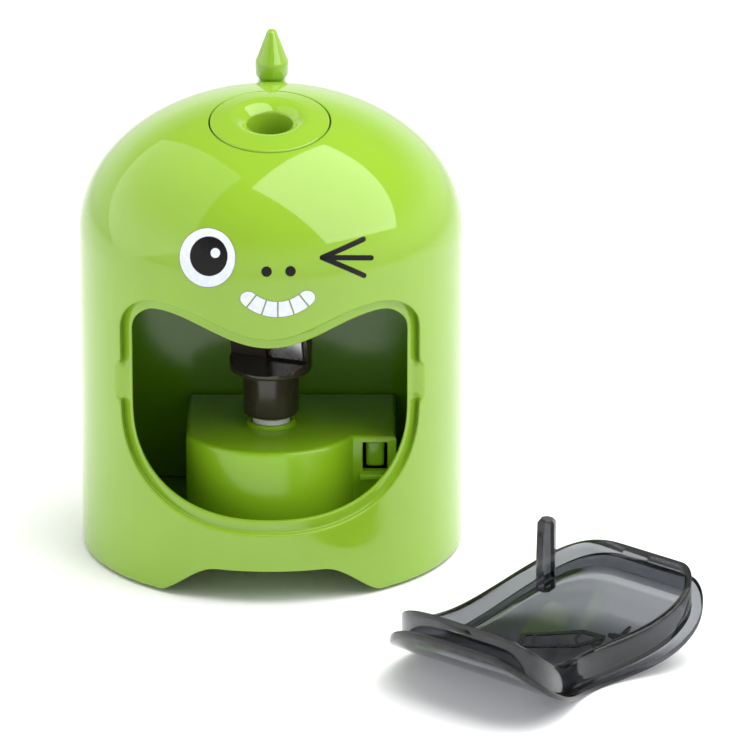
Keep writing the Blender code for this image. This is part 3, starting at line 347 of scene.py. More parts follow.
def prism(name, outline, low, high, material=LIME, body=None, upright=False, place=None):
    """A flat outline with thickness: along Z, or along Y when it is drawn on X-Z."""
    if upright:
        loops = [[(x, level, z) for x, z in outline] for level in (low, high)]
    else:
        loops = [[(x, y, level) for x, y in outline] for level in (low, high)]
    return loft(name, loops, material, body, place)


def block(name, x, y, z, material=LIME, body=None, place=None):
    outline = [(x[0], y[0]), (x[1], y[0]), (x[1], y[1]), (x[0], y[1])]
    return prism(name, outline, z[0], z[1], material, body, place=place)


def fillet(start, end, count=5, bulge=1):
    """Points of a quarter ellipse from start to end; bulge picks which side it swells to."""
    (x0, y0), (x1, y1) = start, end
    points = []
    for i in range(count + 1):
        angle = pi / 2 * i / count
        if bulge > 0:
            points.append((x0 + (x1 - x0) * sin(angle), y0 + (y1 - y0) * (1 - cos(angle))))
        else:
            points.append((x0 + (x1 - x0) * (1 - cos(angle)), y0 + (y1 - y0) * sin(angle)))
    return points


def apply_booleans(obj, steps):
    """Cut, join or intersect an object with tools, which are then removed."""
    for operation, tool in steps:
        modifier = obj.modifiers.new(tool.name, 'BOOLEAN')
        modifier.operation = operation
        modifier.solver = 'EXACT'
        modifier.object = tool
    bpy.context.view_layer.update()
    depsgraph = bpy.context.evaluated_depsgraph_get()
    mesh = bpy.data.meshes.new_from_object(obj.evaluated_get(depsgraph))
    obj.modifiers.clear()
    old = obj.data
    obj.data = mesh
    bpy.data.meshes.remove(old)
    for _, tool in steps:
        bpy.data.objects.remove(tool, do_unlink=True)


def soften(obj, width, segments=3, angle=radians(32)):
    """Round the edges of a piece with large faces."""
    modifier = obj.modifiers.new("round", 'BEVEL')
    modifier.width = width * MM
    modifier.segments = segments
    modifier.limit_method = 'ANGLE'
    modifier.angle_limit = angle
    modifier.harden_normals = False
    bpy.context.view_layer.update()
    mesh = bpy.data.meshes.new_from_object(obj.evaluated_get(bpy.context.evaluated_depsgraph_get()))
    obj.modifiers.clear()
    obj.data = mesh


# ---------------------------------------------------------------- the body's face

def dome_radius(z, inset=0.0):
    if z <= SHOULDER_Z:
        return BODY_R - inset
    share = (z - SHOULDER_Z) / (DOME_H - inset)
    return (BODY_R - inset) * sqrt(max(0.0, 1 - share * share))


def dome_z(x, y, inset=0.0):
    share = (x * x + y * y) / (BODY_R - inset) ** 2
    return SHOULDER_Z + (DOME_H - inset) * sqrt(max(0.0, 1 - share))


def face_normal(point):
    x, y, z = point
    if z <= SHOULDER_Z:
        return Vector((x, y, 0.0)).normalized()
    return Vector((x / BODY_R ** 2, y / BODY_R ** 2, (z - SHOULDER_Z) / DOME_H ** 2)).normalized()


def on_front(x, z):
    """The point of the body's outer face that is seen at x, z from the front."""
    return Vector((x, -sqrt(max(0.0, dome_radius(z) ** 2 - x * x)), z))


def project(point, direction):
    """Slide a point along a direction onto the body's outer face."""
    point = Vector(point)
    for _ in range(12):
        radius = hypot(point.x, point.y)
        if point.z <= SHOULDER_Z:
            miss = radius - BODY_R
        else:
            size = sqrt((radius / BODY_R) ** 2 + ((point.z - SHOULDER_Z) / DOME_H) ** 2)
            miss = (size - 1) * BODY_R
        slope = max(0.2, face_normal(point).dot(direction))
        point = point - direction * (miss / slope)
    return point


def true_normals(obj):
    """Give the parts of a mesh that lie on the body's face the face's exact normals."""
    mesh = obj.data
    normals = [Vector(n.vector) for n in mesh.corner_normals]
    for polygon in mesh.polygons:
        for corner in polygon.loop_indices:
            point = (mesh.vertices[mesh.loops[corner].vertex_index].co - AXIS) / MM
            radius = hypot(point.x, point.y)
            if point.z <= SHOULDER_Z:
                miss = abs(radius - BODY_R)
            else:
                size = sqrt((radius / BODY_R) ** 2 + ((point.z - SHOULDER_Z) / DOME_H) ** 2)
                miss = abs(size - 1) * BODY_R
            exact = face_normal(point)
            if miss < 0.02 and polygon.normal.dot(exact) > 0.94:
                normals[corner] = exact
    mesh.normals_split_custom_set([tuple(n) for n in normals])


# ---------------------------------------------------------------- outlines

def mirrored(half):
    return half + [(-x, z) for x, z in reversed(half[1:-1])]


def opening_outline(inset=0.0, wave=28, corner=16, bowl=44):
    """The front opening on the X-Z plane: wavy top, straight sides and a full, round lower edge."""
    side, top, low = OPEN_HALF - inset, OPEN_HUMP_Z - inset, OPEN_LOW_Z + inset
    radius = OPEN_CORNER - inset / 2
    upper = [(OPEN_HUMP_X * i / wave, top - OPEN_SAG * (1 + cos(pi * i / wave)) / 2) for i in range(wave)]
    turns = [i * pi / 2 / corner for i in range(corner + 1)]
    shoulder = [(OPEN_HUMP_X + (side - OPEN_HUMP_X) * sin(a), top - radius + radius * cos(a)) for a in turns]
    straight = [(side, z) for z in np.linspace(top - radius, OPEN_SIDE_Z, 24)[1:-1]]
    sweep = [i * pi / 2 / bowl for i in range(bowl)]
    power = 2 / OPEN_ROUND
    lower = [(side * cos(a) ** power, OPEN_SIDE_Z - (OPEN_SIDE_Z - low) * sin(a) ** power) for a in sweep]
    return mirrored(upper + shoulder + straight + lower + [(0.0, low)])


def even(outline, count):
    """The same closed outline with evenly spaced points."""
    points = np.array(outline + outline[:1])
    steps = np.hypot(*np.diff(points, axis=0).T)
    travel = np.concatenate([[0.0], np.cumsum(steps)])
    wanted = np.linspace(0.0, travel[-1], count, endpoint=False)
    return np.column_stack([np.interp(wanted, travel, points[:, k]) for k in (0, 1)])


def inward(points):
    """Unit normals of an evenly spaced closed outline, pointing inwards and smoothed a little."""
    ahead, behind = np.roll(points, -1, axis=0), np.roll(points, 1, axis=0)
    along = ahead - behind
    normals = np.column_stack([along[:, 1], -along[:, 0]])
    normals /= np.hypot(*normals.T)[:, None]
    for _ in range(2):
        normals = normals + 0.5 * (np.roll(normals, 1, axis=0) + np.roll(normals, -1, axis=0))
        normals /= np.hypot(*normals.T)[:, None]
    middle = points.mean(axis=0)
    if ((middle - points) * normals).sum() < 0:
        normals = -normals
    return normals


def arch_outline():
    turns = [i / 24 for i in range(25)]
    span = ARCH_HALF - ARCH_FLAT
    curve = [(ARCH_FLAT + span * t, ARCH_H * (1 + cos(pi * t)) / 2) for t in turns]
    return mirrored([(0.0, ARCH_H)] + curve + [(ARCH_HALF + 0.5, -2.0), (0.0, -2.0)])


def rounded_rectangle(half_x, half_y, radius, middle=(0.0, 0.0), steps=10):
    outline = []
    for k, (sx, sy) in enumerate([(1, 1), (-1, 1), (-1, -1), (1, -1)]):
        for i in range(steps + 1):
            angle = (k + i / steps) * pi / 2
            outline.append((middle[0] + sx * (half_x - radius) + radius * cos(angle),
                            middle[1] + sy * (half_y - radius) + radius * sin(angle)))
    return outline


# ---------------------------------------------------------------- body pieces

DOOR_HALF = 31.0
DOOR_Z = (11.5, 66.5)
DOOR_CORNER = 6.0
DOOR_SKIN = 1.2
DOOR_LEDGE = 2.2
FRAME_POINTS = 300


def build_shell():
    """The body's shell, without the frame of its front opening."""
    edge = 0.9
    inner_edge = 0.4
    inner_r = BODY_R - WALL
    rings = 44
    outer = [(max(BODY_R * cos(a), 0.01), SHOULDER_Z + DOME_H * sin(a))
             for a in [pi / 2 * (1 - i / rings) for i in range(rings + 1)]]
    inner = [(max(inner_r * cos(a), 0.01), SHOULDER_Z + (DOME_H - WALL) * sin(a))
             for a in [pi / 2 * i / rings for i in range(rings + 1)]]
    down = [(BODY_R, z) for z in np.linspace(SHOULDER_Z, RIM_Z + edge, 26)[1:-1]]
    up = [(inner_r, z) for z in np.linspace(RIM_Z + inner_edge, SHOULDER_Z, 14)[:-1]]
    foot = fillet((BODY_R, RIM_Z + edge), (BODY_R - edge, RIM_Z), bulge=-1)
    profile = outer + down + foot + [(inner_r + inner_edge, RIM_Z)] + up + inner
    shell = turned("body_shell_fine", profile, (0.0, 0.0), steps=ROUND_STEPS)
    hole = even(opening_outline(), FRAME_POINTS)
    hole = hole - inward(hole) * FRAME_OUT
    front = prism("front_hole", [tuple(p) for p in hole], -BODY_R - 5, -6.0, upright=True)
    arch = prism("arch", arch_outline(), -BODY_R - 5, 0.0, upright=True)
    middle_z = (DOOR_Z[0] + DOOR_Z[1]) / 2
    half_z = (DOOR_Z[1] - DOOR_Z[0]) / 2
    door = prism("door_ledge", rounded_rectangle(DOOR_HALF, half_z, DOOR_CORNER, (0.0, middle_z)), 10.0,
                 BODY_R + 5, upright=True)
    core = turned("door_core", [(0.01, 90.0), (BODY_R - DOOR_SKIN - 0.3, 90.0), (BODY_R - DOOR_SKIN - 0.3, 1.0),
                                (0.01, 1.0)], (0.0, 0.0), steps=ROUND_STEPS)
    apply_booleans(door, [('DIFFERENCE', core)])
    opening = rounded_rectangle(DOOR_HALF - DOOR_LEDGE, half_z - DOOR_LEDGE, DOOR_CORNER - 1.1, (0.0, middle_z))
    inside = prism("door_hole", opening, 10.0, BODY_R + 5, upright=True)
    seam_r = GUIDE_R + GUIDE_SEAM + 1.2
    top = turned("guide_hole", [(0.01, 120.0), (seam_r, 120.0), (seam_r, 80.0), (0.01, 80.0)],
                 (0.0, CUTTER_Y), steps=120)
    cut_finish(shell, [arch, front, door, inside, top], LIME, radians(28))
    paint_shade_inside(shell, inner_r)
    true_normals(shell)
    stand_for(shell, "root", "body_shell")


def paint_shade_inside(shell, inner_r):
    """The unpolished inner face has a rougher finish, and its darker green is painted shade of the closed chamber.
    """
    shell.data.materials.append(LIME_INNER_SHADED)
    for polygon in shell.data.polygons:
        point = (polygon.center - AXIS) / MM
        outward = face_normal(point)
        if polygon.normal.dot(outward) < -0.5:
            polygon.material_index = 1


def scoop(z):
    """0 to 1 inside the finger recess, with soft ends."""
    low, high = SCOOP_Z
    run = 1.6
    rise = min(1.0, max(0.0, (z - low) / run + 0.5)) * min(1.0, max(0.0, (high - z) / run + 0.5))
    return rise * rise * (3 - 2 * rise)


def top_share(x, z):
    """1 along the wavy top of the opening and 0 down its sides."""
    rise = min(1.0, max(0.0, (z - 54.0) / 4.0)) * min(1.0, max(0.0, (OPEN_HALF - 2.0 - abs(x)) / 4.0))
    return rise * rise * (3 - 2 * rise)


def build_frame():
    """The stepped frame of the front opening: lip, wall, ledge and inner edge, as one closed ring."""
    base = even(opening_outline(), FRAME_POINTS)
    normals = inward(base)
    depth = LEDGE_DEPTH
    plain = [(-FRAME_OUT, 0.0), (-1.6, 0.0), (-LIP_ROUND, 0.0)]
    plain += fillet((-LIP_ROUND, 0.0), (0.0, LIP_ROUND), 6)[1:]
    plain += [(0.0, depth - 0.35)]
    plain += fillet((0.0, depth - 0.35), (0.35, depth), 4, bulge=-1)[1:]
    plain += [(LEDGE - 0.9, depth), (LEDGE - 0.4, depth)]
    plain += fillet((LEDGE - 0.4, depth), (LEDGE, depth + 0.4), 5)[1:]
    plain += [(LEDGE, WALL), (LEDGE, WALL + 0.25), (LEDGE - 0.6, WALL + 0.3), (-FRAME_OUT, WALL + 0.3)]
    # in the finger recess the lip's wall leans back into a long slope
    reach = LEDGE + SCOOP_OUT
    scooped = []
    for d, h in plain:
        if -FRAME_OUT < d < LEDGE - 0.95 and h <= depth:
            share = min(1.0, max(0.0, (d + LIP_ROUND) / (LEDGE - 0.9 + LIP_ROUND)) * 0.35 + h / depth * 0.65)
            scooped.append((-SCOOP_OUT - 0.3 + reach * 0.78 * share, depth * share ** 1.25))
        else:
            scooped.append((d, h))
    loops = []
    for (d0, h0), (d1, h1) in zip(plain, scooped):
        loop = []
        for (x, z), (nx, nz) in zip(base, normals):
            share = scoop(z) if abs(x) > OPEN_HUMP_X else 0.0
            d, h = d0 + (d1 - d0) * share, h0 + (h1 - h0) * share
            d -= top_share(x, z) * TOP_NARROW * min(1.0, max(0.0, d / LEDGE))
            px, pz = x + nx * d, z + nz * d
            loop.append((px, -sqrt((BODY_R - h) ** 2 - px * px), pz))
        loops.append(loop)
    ring = loft("opening_frame", loops, LIME, "root", ring=True, smooth=radians(40))
    true_normals(ring)


def guide_seam_ring():
    """The edge of the dome round the pencil guide."""
    steps = 120
    start = GUIDE_R + GUIDE_SEAM
    profile = [(1.2, 0.0), (0.6, 0.0), (0.25, 0.0)] + fillet((0.25, 0.0), (0.0, 0.25), 4)[1:]
    profile += [(0.0, 1.2), (0.0, WALL + 0.2), (1.2, WALL + 0.2)]
    loops = [[(x, y, dome_z(x, y) - deep) for x, y, _ in circle(start + out, 0.0, (0.0, CUTTER_Y), steps)]
             for out, deep in profile]
    ring = loft("guide_seat", loops, LIME, "root", ring=True, smooth=radians(40))
    true_normals(ring)


def build_guide():
    """The disc round the pencil hole: it follows the dome and dips in a soft funnel to the throat."""
    steps = 120
    level = dome_z(0.0, CUTTER_Y)
    flange_r = 14.8
    under = WALL + 0.3
    tube_r, tube_z = 6.6, 64.3
    sink = 1.9
    throat_z = level - 4.0

    def bowl(radius, x, y):
        """The funnel keeps the dome's slope and dips towards the throat's crisp edge."""
        share = min(1.0, max(0.0, (radius - THROAT_R) / (FUNNEL_R - THROAT_R)))
        return dome_z(x, y) - sink * (1 - sin(pi / 2 * share))

    profile = []
    profile += [("flat", THROAT_R + 0.6, tube_z), ("flat", THROAT_R, tube_z + 1.5)]
    profile += [("flat", THROAT_R, z) for z in np.linspace(tube_z + 4, throat_z - 0.6, 8)]
    profile += [("bowl", THROAT_R, 0.25)]
    profile += [("bowl", THROAT_R + 0.06, 0.06), ("bowl", THROAT_R + 0.22, 0.0)]
    profile += [("bowl", THROAT_R + (FUNNEL_R - THROAT_R) * i / 16, 0.0) for i in range(2, 17)]
    profile += [("dome", r, 0.0) for r in np.linspace(FUNNEL_R + 0.4, GUIDE_R - 0.7, 8)]
    profile += [("dome", GUIDE_R - 0.3 + 0.3 * sin(a), 0.3 * (1 - cos(a))) for a in np.linspace(0, pi / 2, 6)]
    profile += [("dome", GUIDE_R, 1.2), ("dome", GUIDE_R, under)]
    profile += [("dome", flange_r, under), ("dome", flange_r, under + 1.6), ("dome", tube_r + 1.0, under + 1.6)]
    profile += [("flat", tube_r, level - 7.0), ("flat", tube_r, tube_z)]
    loops = []
    for kind, radius, value in profile:
        loop = []
        for x, y, _ in circle(radius, 0.0, (0.0, CUTTER_Y), steps):
            if kind == "flat":
                z = value
            elif kind == "bowl":
                z = bowl(radius, x, y) - value
            else:
                z = dome_z(x, y) - value
            loop.append((x, y, z))
        loops.append(loop)
    guide = loft("pencil_guide_fine", loops, LIME, "root", ring=True, smooth=radians(44))
    true_normals(guide)
    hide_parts("pencil_guide")


def build_spike():
    """The little horn behind the crown: an upright barrel with a long, soft cone."""
    y0, half_w, half_l = 23.0, 3.5, 4.5
    tip_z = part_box("head_spike")[1][2] / MM
    taper = 6.7
    neck_z = 93.7
    foot_z = 87.5
    profile = [(0.02, tip_z), (0.4, tip_z - 0.06), (0.8, tip_z - 0.25), (1.08, tip_z - 0.62)]
    profile += [(1.2 + (half_w - 1.5) * t, tip_z - 1.0 - (taper - 1.5) * t) for t in [i / 8 for i in range(9)]]
    profile += [(half_w - 0.12, tip_z - taper + 0.15), (half_w, tip_z - taper - 0.35)]
    profile += [(half_w, neck_z + 1.3), (half_w - 0.1, neck_z + 0.95), (half_w - 0.3, neck_z + 0.7),
                (half_w - 0.5, neck_z + 0.3), (half_w - 0.55, foot_z)]
    loops = [circle(radius, z, (0.0, y0), stretch=half_l / half_w) for radius, z in profile]
    spike = loft("head_spike_fine", loops)
    seat_points = [(max(0.01, BODY_R * cos(a)), SHOULDER_Z + DOME_H * sin(a))
                   for a in np.linspace(pi / 2, 0, 40)]
    seat = turned("spike_seat", seat_points + [(BODY_R, 30.0), (0.01, 30.0)], (0.0, 0.0), steps=120)
    cut_finish(spike, [seat], LIME)
    stand_for(spike, "root", "head_spike")


# ---------------------------------------------------------------- face print

INK_LIFT = 0.05
INK_SINK = 0.12


def printed(name, centre, rows, material, lift=INK_LIFT):
    """A thin printed patch: rows of (across, up) points round a centre, laid on the body's face."""
    anchor = on_front(*centre)
    out = face_normal(anchor)
    across = Vector((0.0, 0.0, 1.0)).cross(out).normalized()
    up = out.cross(across)
    layers = []
    for height in (lift, -INK_SINK):
        layer = []
        for row in rows:
            for a, b in row:
                point = project(anchor + across * a + up * b, out)
                layer.append(point + face_normal(point) * height)
        layers.append(layer)
    wide, long = len(rows), len(rows[0])
    top = grid_faces(wide, long)
    count = wide * long
    bottom = [tuple(count + i for i in reversed(face)) for face in top]
    rim = [j for j in range(long)] + [i * long + long - 1 for i in range(1, wide)]
    rim += [(wide - 1) * long + j for j in range(long - 2, -1, -1)] + [i * long for i in range(wide - 2, 0, -1)]
    sides = [(rim[k], rim[k - 1], rim[k - 1] + count, rim[k] + count) for k in range(len(rim))]
    patch = make(name, layers[0] + layers[1], top + bottom + sides, material, "root", smooth=radians(50))


def disc_rows(radius, at=(0.0, 0.0), steps=28):
    """A round patch as rows of chords."""
    rows = []
    for i in range(steps + 1):
        up = -cos(pi * i / steps) * radius
        half = sqrt(max(0.0, radius * radius - up * up)) + 0.004
        rows.append([(at[0] + half * (2 * j / steps - 1), at[1] + up) for j in range(steps + 1)])
    return rows


def stroke_rows(start, end, width, steps=24):
    """A straight stroke with round ends, as rows across it."""
    start, end = Vector(start), Vector(end)
    along = (end - start).normalized()
    side = Vector((-along.y, along.x))
    half = width / 2
    length = (end - start).length
    rows = []
    for i in range(steps + 1):
        travel = -half + (length + width) * (1 - cos(pi * i / steps)) / 2
        over = max(0.0, -travel, travel - length)
        reach = sqrt(max(0.0, half * half - over * over)) + 0.002
        middle = start + along * travel
        rows.append([tuple(middle + side * reach * t) for t in (-1, -0.5, 0, 0.5, 1)])
    return rows


def smile_rows(half_chord, sag, half_thick, steps=56, extra=0.0):
    """A thick smiling band with round ends, bent along an arc."""
    radius = (half_chord ** 2 + sag ** 2) / (2 * sag)
    half_angle = 2 * acos((radius - sag) / radius) / 2
    reach = half_angle * radius
    half = half_thick + extra
    rows = []
    for i in range(steps + 1):
        travel = -(reach + half) * cos(pi * i / steps)
        over = max(0.0, abs(travel) - reach)
        wide = sqrt(max(0.0, half * half - over * over)) + 0.003
        angle = travel / radius
        rows.append([((radius + wide * t) * sin(angle), sag - (radius + wide * t) * cos(angle) + radius - sag)
                     for t in (-1, -0.6, -0.2, 0.2, 0.6, 1)])
    return rows


def build_face():
    """A cartoon animal's face in pad-printed ink: an open eye, a wink, nostrils and a toothy smile."""
    eye = (-12.5, 74.3)
    printed("eye_edge", eye, disc_rows(6.12), INK_EDGE, lift=0.03)
    printed("eye_white", eye, disc_rows(5.95), INK_WHITE, lift=0.05)
    printed("eye_pupil", eye, disc_rows(4.02, at=(0.35, 0.35)), INK_BLACK, lift=0.07)
    printed("eye_glint", eye, disc_rows(1.0, at=(1.75, 1.15), steps=16), INK_WHITE, lift=0.09)
    for side, x in (("left", -0.35), ("right", 4.5)):
        printed(f"nostril_{side}", (x, 72.2), disc_rows(1.06, steps=16), INK_BLACK)
    wink = (10.9, 74.5)
    for name, tip in (("upper", (9.3, 2.9)), ("middle", (10.7, -1.05)), ("lower", (8.9, -4.5))):
        printed(f"wink_{name}", wink, stroke_rows((0.0, 0.0), tip, 1.05), INK_BLACK)
    smile = (1.9, 64.2)
    half_chord, sag, half_thick = 5.9, 2.2, 1.62
    printed("smile_edge", smile, smile_rows(half_chord, sag, half_thick, extra=0.14), INK_EDGE, lift=0.03)
    printed("smile_white", smile, smile_rows(half_chord, sag, half_thick), INK_WHITE, lift=0.05)
    radius = (half_chord ** 2 + sag ** 2) / (2 * sag)
    for i in range(5):
        angle = (i - 2) * 2.85 / radius
        ends = [((radius + t) * sin(angle), radius - (radius + t) * cos(angle))
                for t in (-half_thick, half_thick)]
        printed(f"tooth_line_{i + 1}", smile, stroke_rows(*ends, 0.3, steps=12), INK_EDGE, lift=0.07)


# ---------------------------------------------------------------- inside the chamber

def housing_outline(inset):
    radius = HOUSING_R - inset
    left, right = HOUSING_LEFT_X + inset, HOUSING_RIGHT_X - inset
    back, front = HOUSING_BACK_Y - inset, BAY_FRONT_Y + inset
    start = pi + acos(min(1.0, -left / radius))
    end = 2 * pi - acos(sqrt(radius ** 2 - (front - CUTTER_Y) ** 2) / radius)
    arc = [(radius * cos(a), CUTTER_Y + radius * sin(a)) for a in np.linspace(start, end, 60)]
    return [(left, back)] + arc + [(right, front), (right, back)]


def build_housing():
    """The low housing over the gears: soft top edge, ring round the shaft, slot and ledge in the bay."""
    edge = 1.0
    loops = [[(x, y, HOUSING_LOW_Z) for x, y in housing_outline(0.0)]]
    for i in range(7):
        angle = pi / 2 * i / 6
        inset = edge * (1 - cos(angle))
        loops.append([(x, y, HOUSING_TOP_Z - edge + edge * sin(angle)) for x, y in housing_outline(inset)])
    housing = loft("motor_housing_fine", loops, LIME_SATIN, None)
    hollow = prism("hollow", housing_outline(HOUSING_WALL), HOUSING_LOW_Z - 3, HOUSING_TOP_Z - 1.3)
    gate = block("gate", (-12.6, 12.6), (HOUSING_BACK_Y - 3, HOUSING_BACK_Y + 1), (HOUSING_LOW_Z - 3, 23.0),
                 LIME, None)
    hole_r = COLLAR_R + 0.3
    ring_r = hole_r + 0.75
    boss_profile = [(hole_r - 1.0, HOUSING_TOP_Z + 0.75), (ring_r - 0.3, HOUSING_TOP_Z + 0.75)]
    boss_profile += fillet((ring_r - 0.3, HOUSING_TOP_Z + 0.75), (ring_r, HOUSING_TOP_Z + 0.45), 4)[1:]
    boss_profile += [(ring_r, HOUSING_TOP_Z + 0.25), (ring_r + 0.3, HOUSING_TOP_Z - 0.02),
                     (ring_r + 0.3, HOUSING_TOP_Z - 0.6), (hole_r - 1.0, HOUSING_TOP_Z - 0.6)]
    boss = turned("boss", boss_profile, (0.0, CUTTER_Y), steps=64, ring=True)
    hole = turned("hole", [(0.01, 40.0), (hole_r, 40.0), (hole_r, 20.0), (0.01, 20.0)], (0.0, CUTTER_Y))
    slot_half = BUTTON_W / 2 + 0.7
    low, high = BUTTON_Z - BUTTON_H / 2 - 0.3, BUTTON_Z + BUTTON_H / 2 + 0.3
    slot = block("slot", (BUTTON_X - slot_half, BUTTON_X + slot_half), (BAY_FRONT_Y - 3, BAY_FRONT_Y + 3),
                 (low, high))
    ledge_half = slot_half + 0.6
    ledge = block("ledge", (BUTTON_X - ledge_half, BUTTON_X + ledge_half), (BAY_FRONT_Y - 2.0, BAY_FRONT_Y + 0.6),
                  (low - 1.3, low - 0.1))
    soften(ledge, 0.3)
    apply_booleans(housing, [('DIFFERENCE', hollow), ('DIFFERENCE', gate), ('UNION', boss), ('DIFFERENCE', hole),
                             ('DIFFERENCE', slot), ('UNION', ledge)])
    finish_mesh(housing, LIME_SATIN)
    stand_for(housing, "root", "motor_housing")


def build_button():
    """The interlock button, with a crowned front and round edges."""
    low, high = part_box("interlock_button")
    front = (low[1] - AXIS.y) / MM
    back = front + 5.0
    half_w, half_h = BUTTON_W / 2, BUTTON_H / 2
    loops = []
    crown = ((front, 0.75), (front + 0.12, 0.4), (front + 0.35, 0.15), (front + 0.7, 0.0), (back, 0.0))
    for y, shrink in crown:
        outline = rounded_rectangle(half_w - shrink, half_h - shrink, 0.7, (BUTTON_X, BUTTON_Z), steps=5)
        loops.append([(x, y, z) for x, z in outline])
    button = loft("interlock_button_fine", loops, LIME_SATIN, None)
    stem = turned("stem", [(0.01, back - 1.0), (1.0, back - 1.0), (1.0, back + 2.4), (0.01, back + 2.4)],
                  (0.0, 0.0), steps=24,
                  place=Matrix.Translation((BUTTON_X, 0, BUTTON_Z)) @ Matrix.Rotation(-pi / 2, 4, 'X'))
    apply_booleans(button, [('UNION', stem)])
    finish_mesh(button, LIME_SATIN)
    stand_for(button, "button", "interlock_button")


def carrier_face():
    """Frame of the blade's seat: x across it, y up the cone's side, z outwards, as in the CAD solid."""
    top_z, tip_z, top_r, tip_r = 62.0, 42.0, 4.7, 0.6
    lean = Vector((0.0, top_r - tip_r, top_z - tip_z)).normalized()
    out = Vector((0.0, lean.z, -lean.y))
    across = out.cross(lean) * -1
    middle_z = (tip_z + top_z + 1.0) / 2 - 0.5
    radius = tip_r + (top_r - tip_r) * (middle_z - tip_z) / (top_z - tip_z)
    spin = Matrix.Translation((0, CUTTER_Y, 0)) @ Matrix.Rotation(radians(-20.0) + pi, 4, 'Z')
    turn = Matrix((across, lean, out)).transposed().to_4x4()
    return spin @ Matrix.Translation((0.0, radius, middle_z)) @ turn


def build_carrier():
    """The dark carrier: stepped, with soft edges, a conical seat and a flat window for the blade."""
    low_r, wide_r, low_z, step_z, top_z = 5.8, 8.6, 31.4, 41.0, 63.0
    profile = [(0.01, top_z), (wide_r - 0.9, top_z)]
    profile += fillet((wide_r - 0.9, top_z), (wide_r, top_z - 0.9))[1:]
    profile += [(wide_r, step_z + 1.0)]
    profile += fillet((wide_r, step_z + 1.0), (wide_r - 1.0, step_z), bulge=-1)[1:]
    profile += [(low_r + 0.4, step_z)]
    profile += fillet((low_r + 0.4, step_z), (low_r, step_z - 0.5), 3)[1:]
    profile += [(low_r, low_z + 1.0)]
    profile += fillet((low_r, low_z + 1.0), (low_r - 1.0, low_z), bulge=-1)[1:]
    profile += [(4.3, low_z), (4.3, low_z + 6.2), (0.01, low_z + 6.2)]
    at = (0.0, CUTTER_Y)
    carrier = turned("cutter_carrier_fine", profile, at, CARRIER, None, steps=96)
    seat = turned("seat", [(0.01, top_z + 1), (5.2, top_z + 1), (4.7, top_z - 1), (0.6, 42.0), (0.01, 42.0)], at,
                  CARRIER, None, steps=64)
    face = carrier_face()
    window = block("window", (-14, 14), (-8.4, 8.4), (-0.35, 12), CARRIER, None, place=face)
    pilot = turned("pilot", [(0.01, 3.0), (1.1, 3.0), (1.1, -3.4), (0.01, -3.4)], (0.0, 0.0), CARRIER, None,
                   steps=24, place=face @ Matrix.Translation((4.6, 0, 0)))
    cut_finish(carrier, [seat, window, pilot], CARRIER)
    stand_for(carrier, "carrier", "cutter_carrier")


def build_blade():
    """The blade with a ground bevel, and its slotted screw."""
    face = carrier_face()
    low, thick, half = -0.05, 0.6, 7.8
    outline = [(-0.3, low), (0.9, low + thick), (7.6, low + thick), (7.6, low)]
    loops = [[(x, y, z) for x, z in outline] for y in (-half, half)]
    blade = loft("cutter_blade_fine", loops, STEEL, None, place=face)
    hole = turned("hole", [(0.01, 3.0), (1.2, 3.0), (1.2, -3.0), (0.01, -3.0)], (0.0, 0.0), STEEL, None, steps=32,
                  place=face @ Matrix.Translation((4.6, 0, 0)))
    cut_finish(blade, [hole], STEEL)
    stand_for(blade, "carrier", "cutter_blade")
    top = low + thick + 0.3
    at = face @ Matrix.Translation((4.6, 0, 0))
    profile = [(0.01, top + 0.9), (1.5, top + 0.85), (1.8, top + 0.6), (1.9, top + 0.3), (1.9, top),
               (0.8, top), (0.8, -2.8), (0.01, -2.8)]
    screw = turned("blade_screw_fine", profile, (0.0, 0.0), STEEL, None, steps=40, place=at)
    slot = block("screw_slot", (-3, 3), (-0.25, 0.25), (top + 0.4, top + 2), STEEL, None, place=at)
    cut_finish(screw, [slot], STEEL)
    stand_for(screw, "carrier", "blade_screw")


def build_collar():
    """The white output shaft, whose top shows as a collar under the cutter."""
    low, high = (v[2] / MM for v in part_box("output_shaft"))
    neck_r, bore, neck_z = 2.9, 1.9, 19.4
    profile = [(COLLAR_R, neck_z), (COLLAR_R, high - 0.4)]
    profile += fillet((COLLAR_R, high - 0.4), (COLLAR_R - 0.4, high), bulge=-1)[1:]
    profile += [(bore, high), (bore, low), (neck_r, low), (neck_r, neck_z)]
    collar = turned("output_shaft_fine", profile, (0.0, CUTTER_Y), WHITE, "drive_shaft", steps=64, ring=True)
    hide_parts("output_shaft")


def build_spring(node, body, axis, wire, turns, fixed_end):
    """A closed-end coil spring in place of a CAD node."""
    low, high = (v - AXIS for v in (Vector(corner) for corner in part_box(node)))
    low, high = low / MM, high / MM
    middle = (low + high) / 2
    around = [k for k in range(3) if k != axis]
    radius = (high[around[0]] - low[around[0]]) / 2 - wire
    start, end = low[axis] + wire, high[axis] - wire
    steps, sides = 28 * int(turns + 1), 12
    loops = []
    for i in range(steps + 1):
        share = i / steps
        angle = WHOLE_TURN * turns * share
        level = start + (end - start) * (share - 0.04 * sin(WHOLE_TURN * share))
        loop = []
        for j in range(sides):
            turn = WHOLE_TURN * j / sides
            point = [0.0, 0.0, 0.0]
            reach = radius + wire * cos(turn)
            point[around[0]] = middle[around[0]] + reach * cos(angle)
            point[around[1]] = middle[around[1]] + reach * sin(angle)
            point[axis] = level + wire * sin(turn)
            loop.append(point)
        loops.append(loop)
    spring = loft(f"{node}_fine", loops, SPRING, body, smooth=radians(60))
    anchor = AXIS + middle * MM
    anchor[axis] = AXIS[axis] + (high if fixed_end == "high" else low)[axis] * MM
    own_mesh(spring)
    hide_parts(node)


def build_springs():
    """The two coil springs."""
    build_spring("carrier_spring", "drive_shaft", 2, 0.35, 4.5, "low")
    build_spring("interlock_spring", "root", 1, 0.25, 4, "high")


# ---------------------------------------------------------------- cover

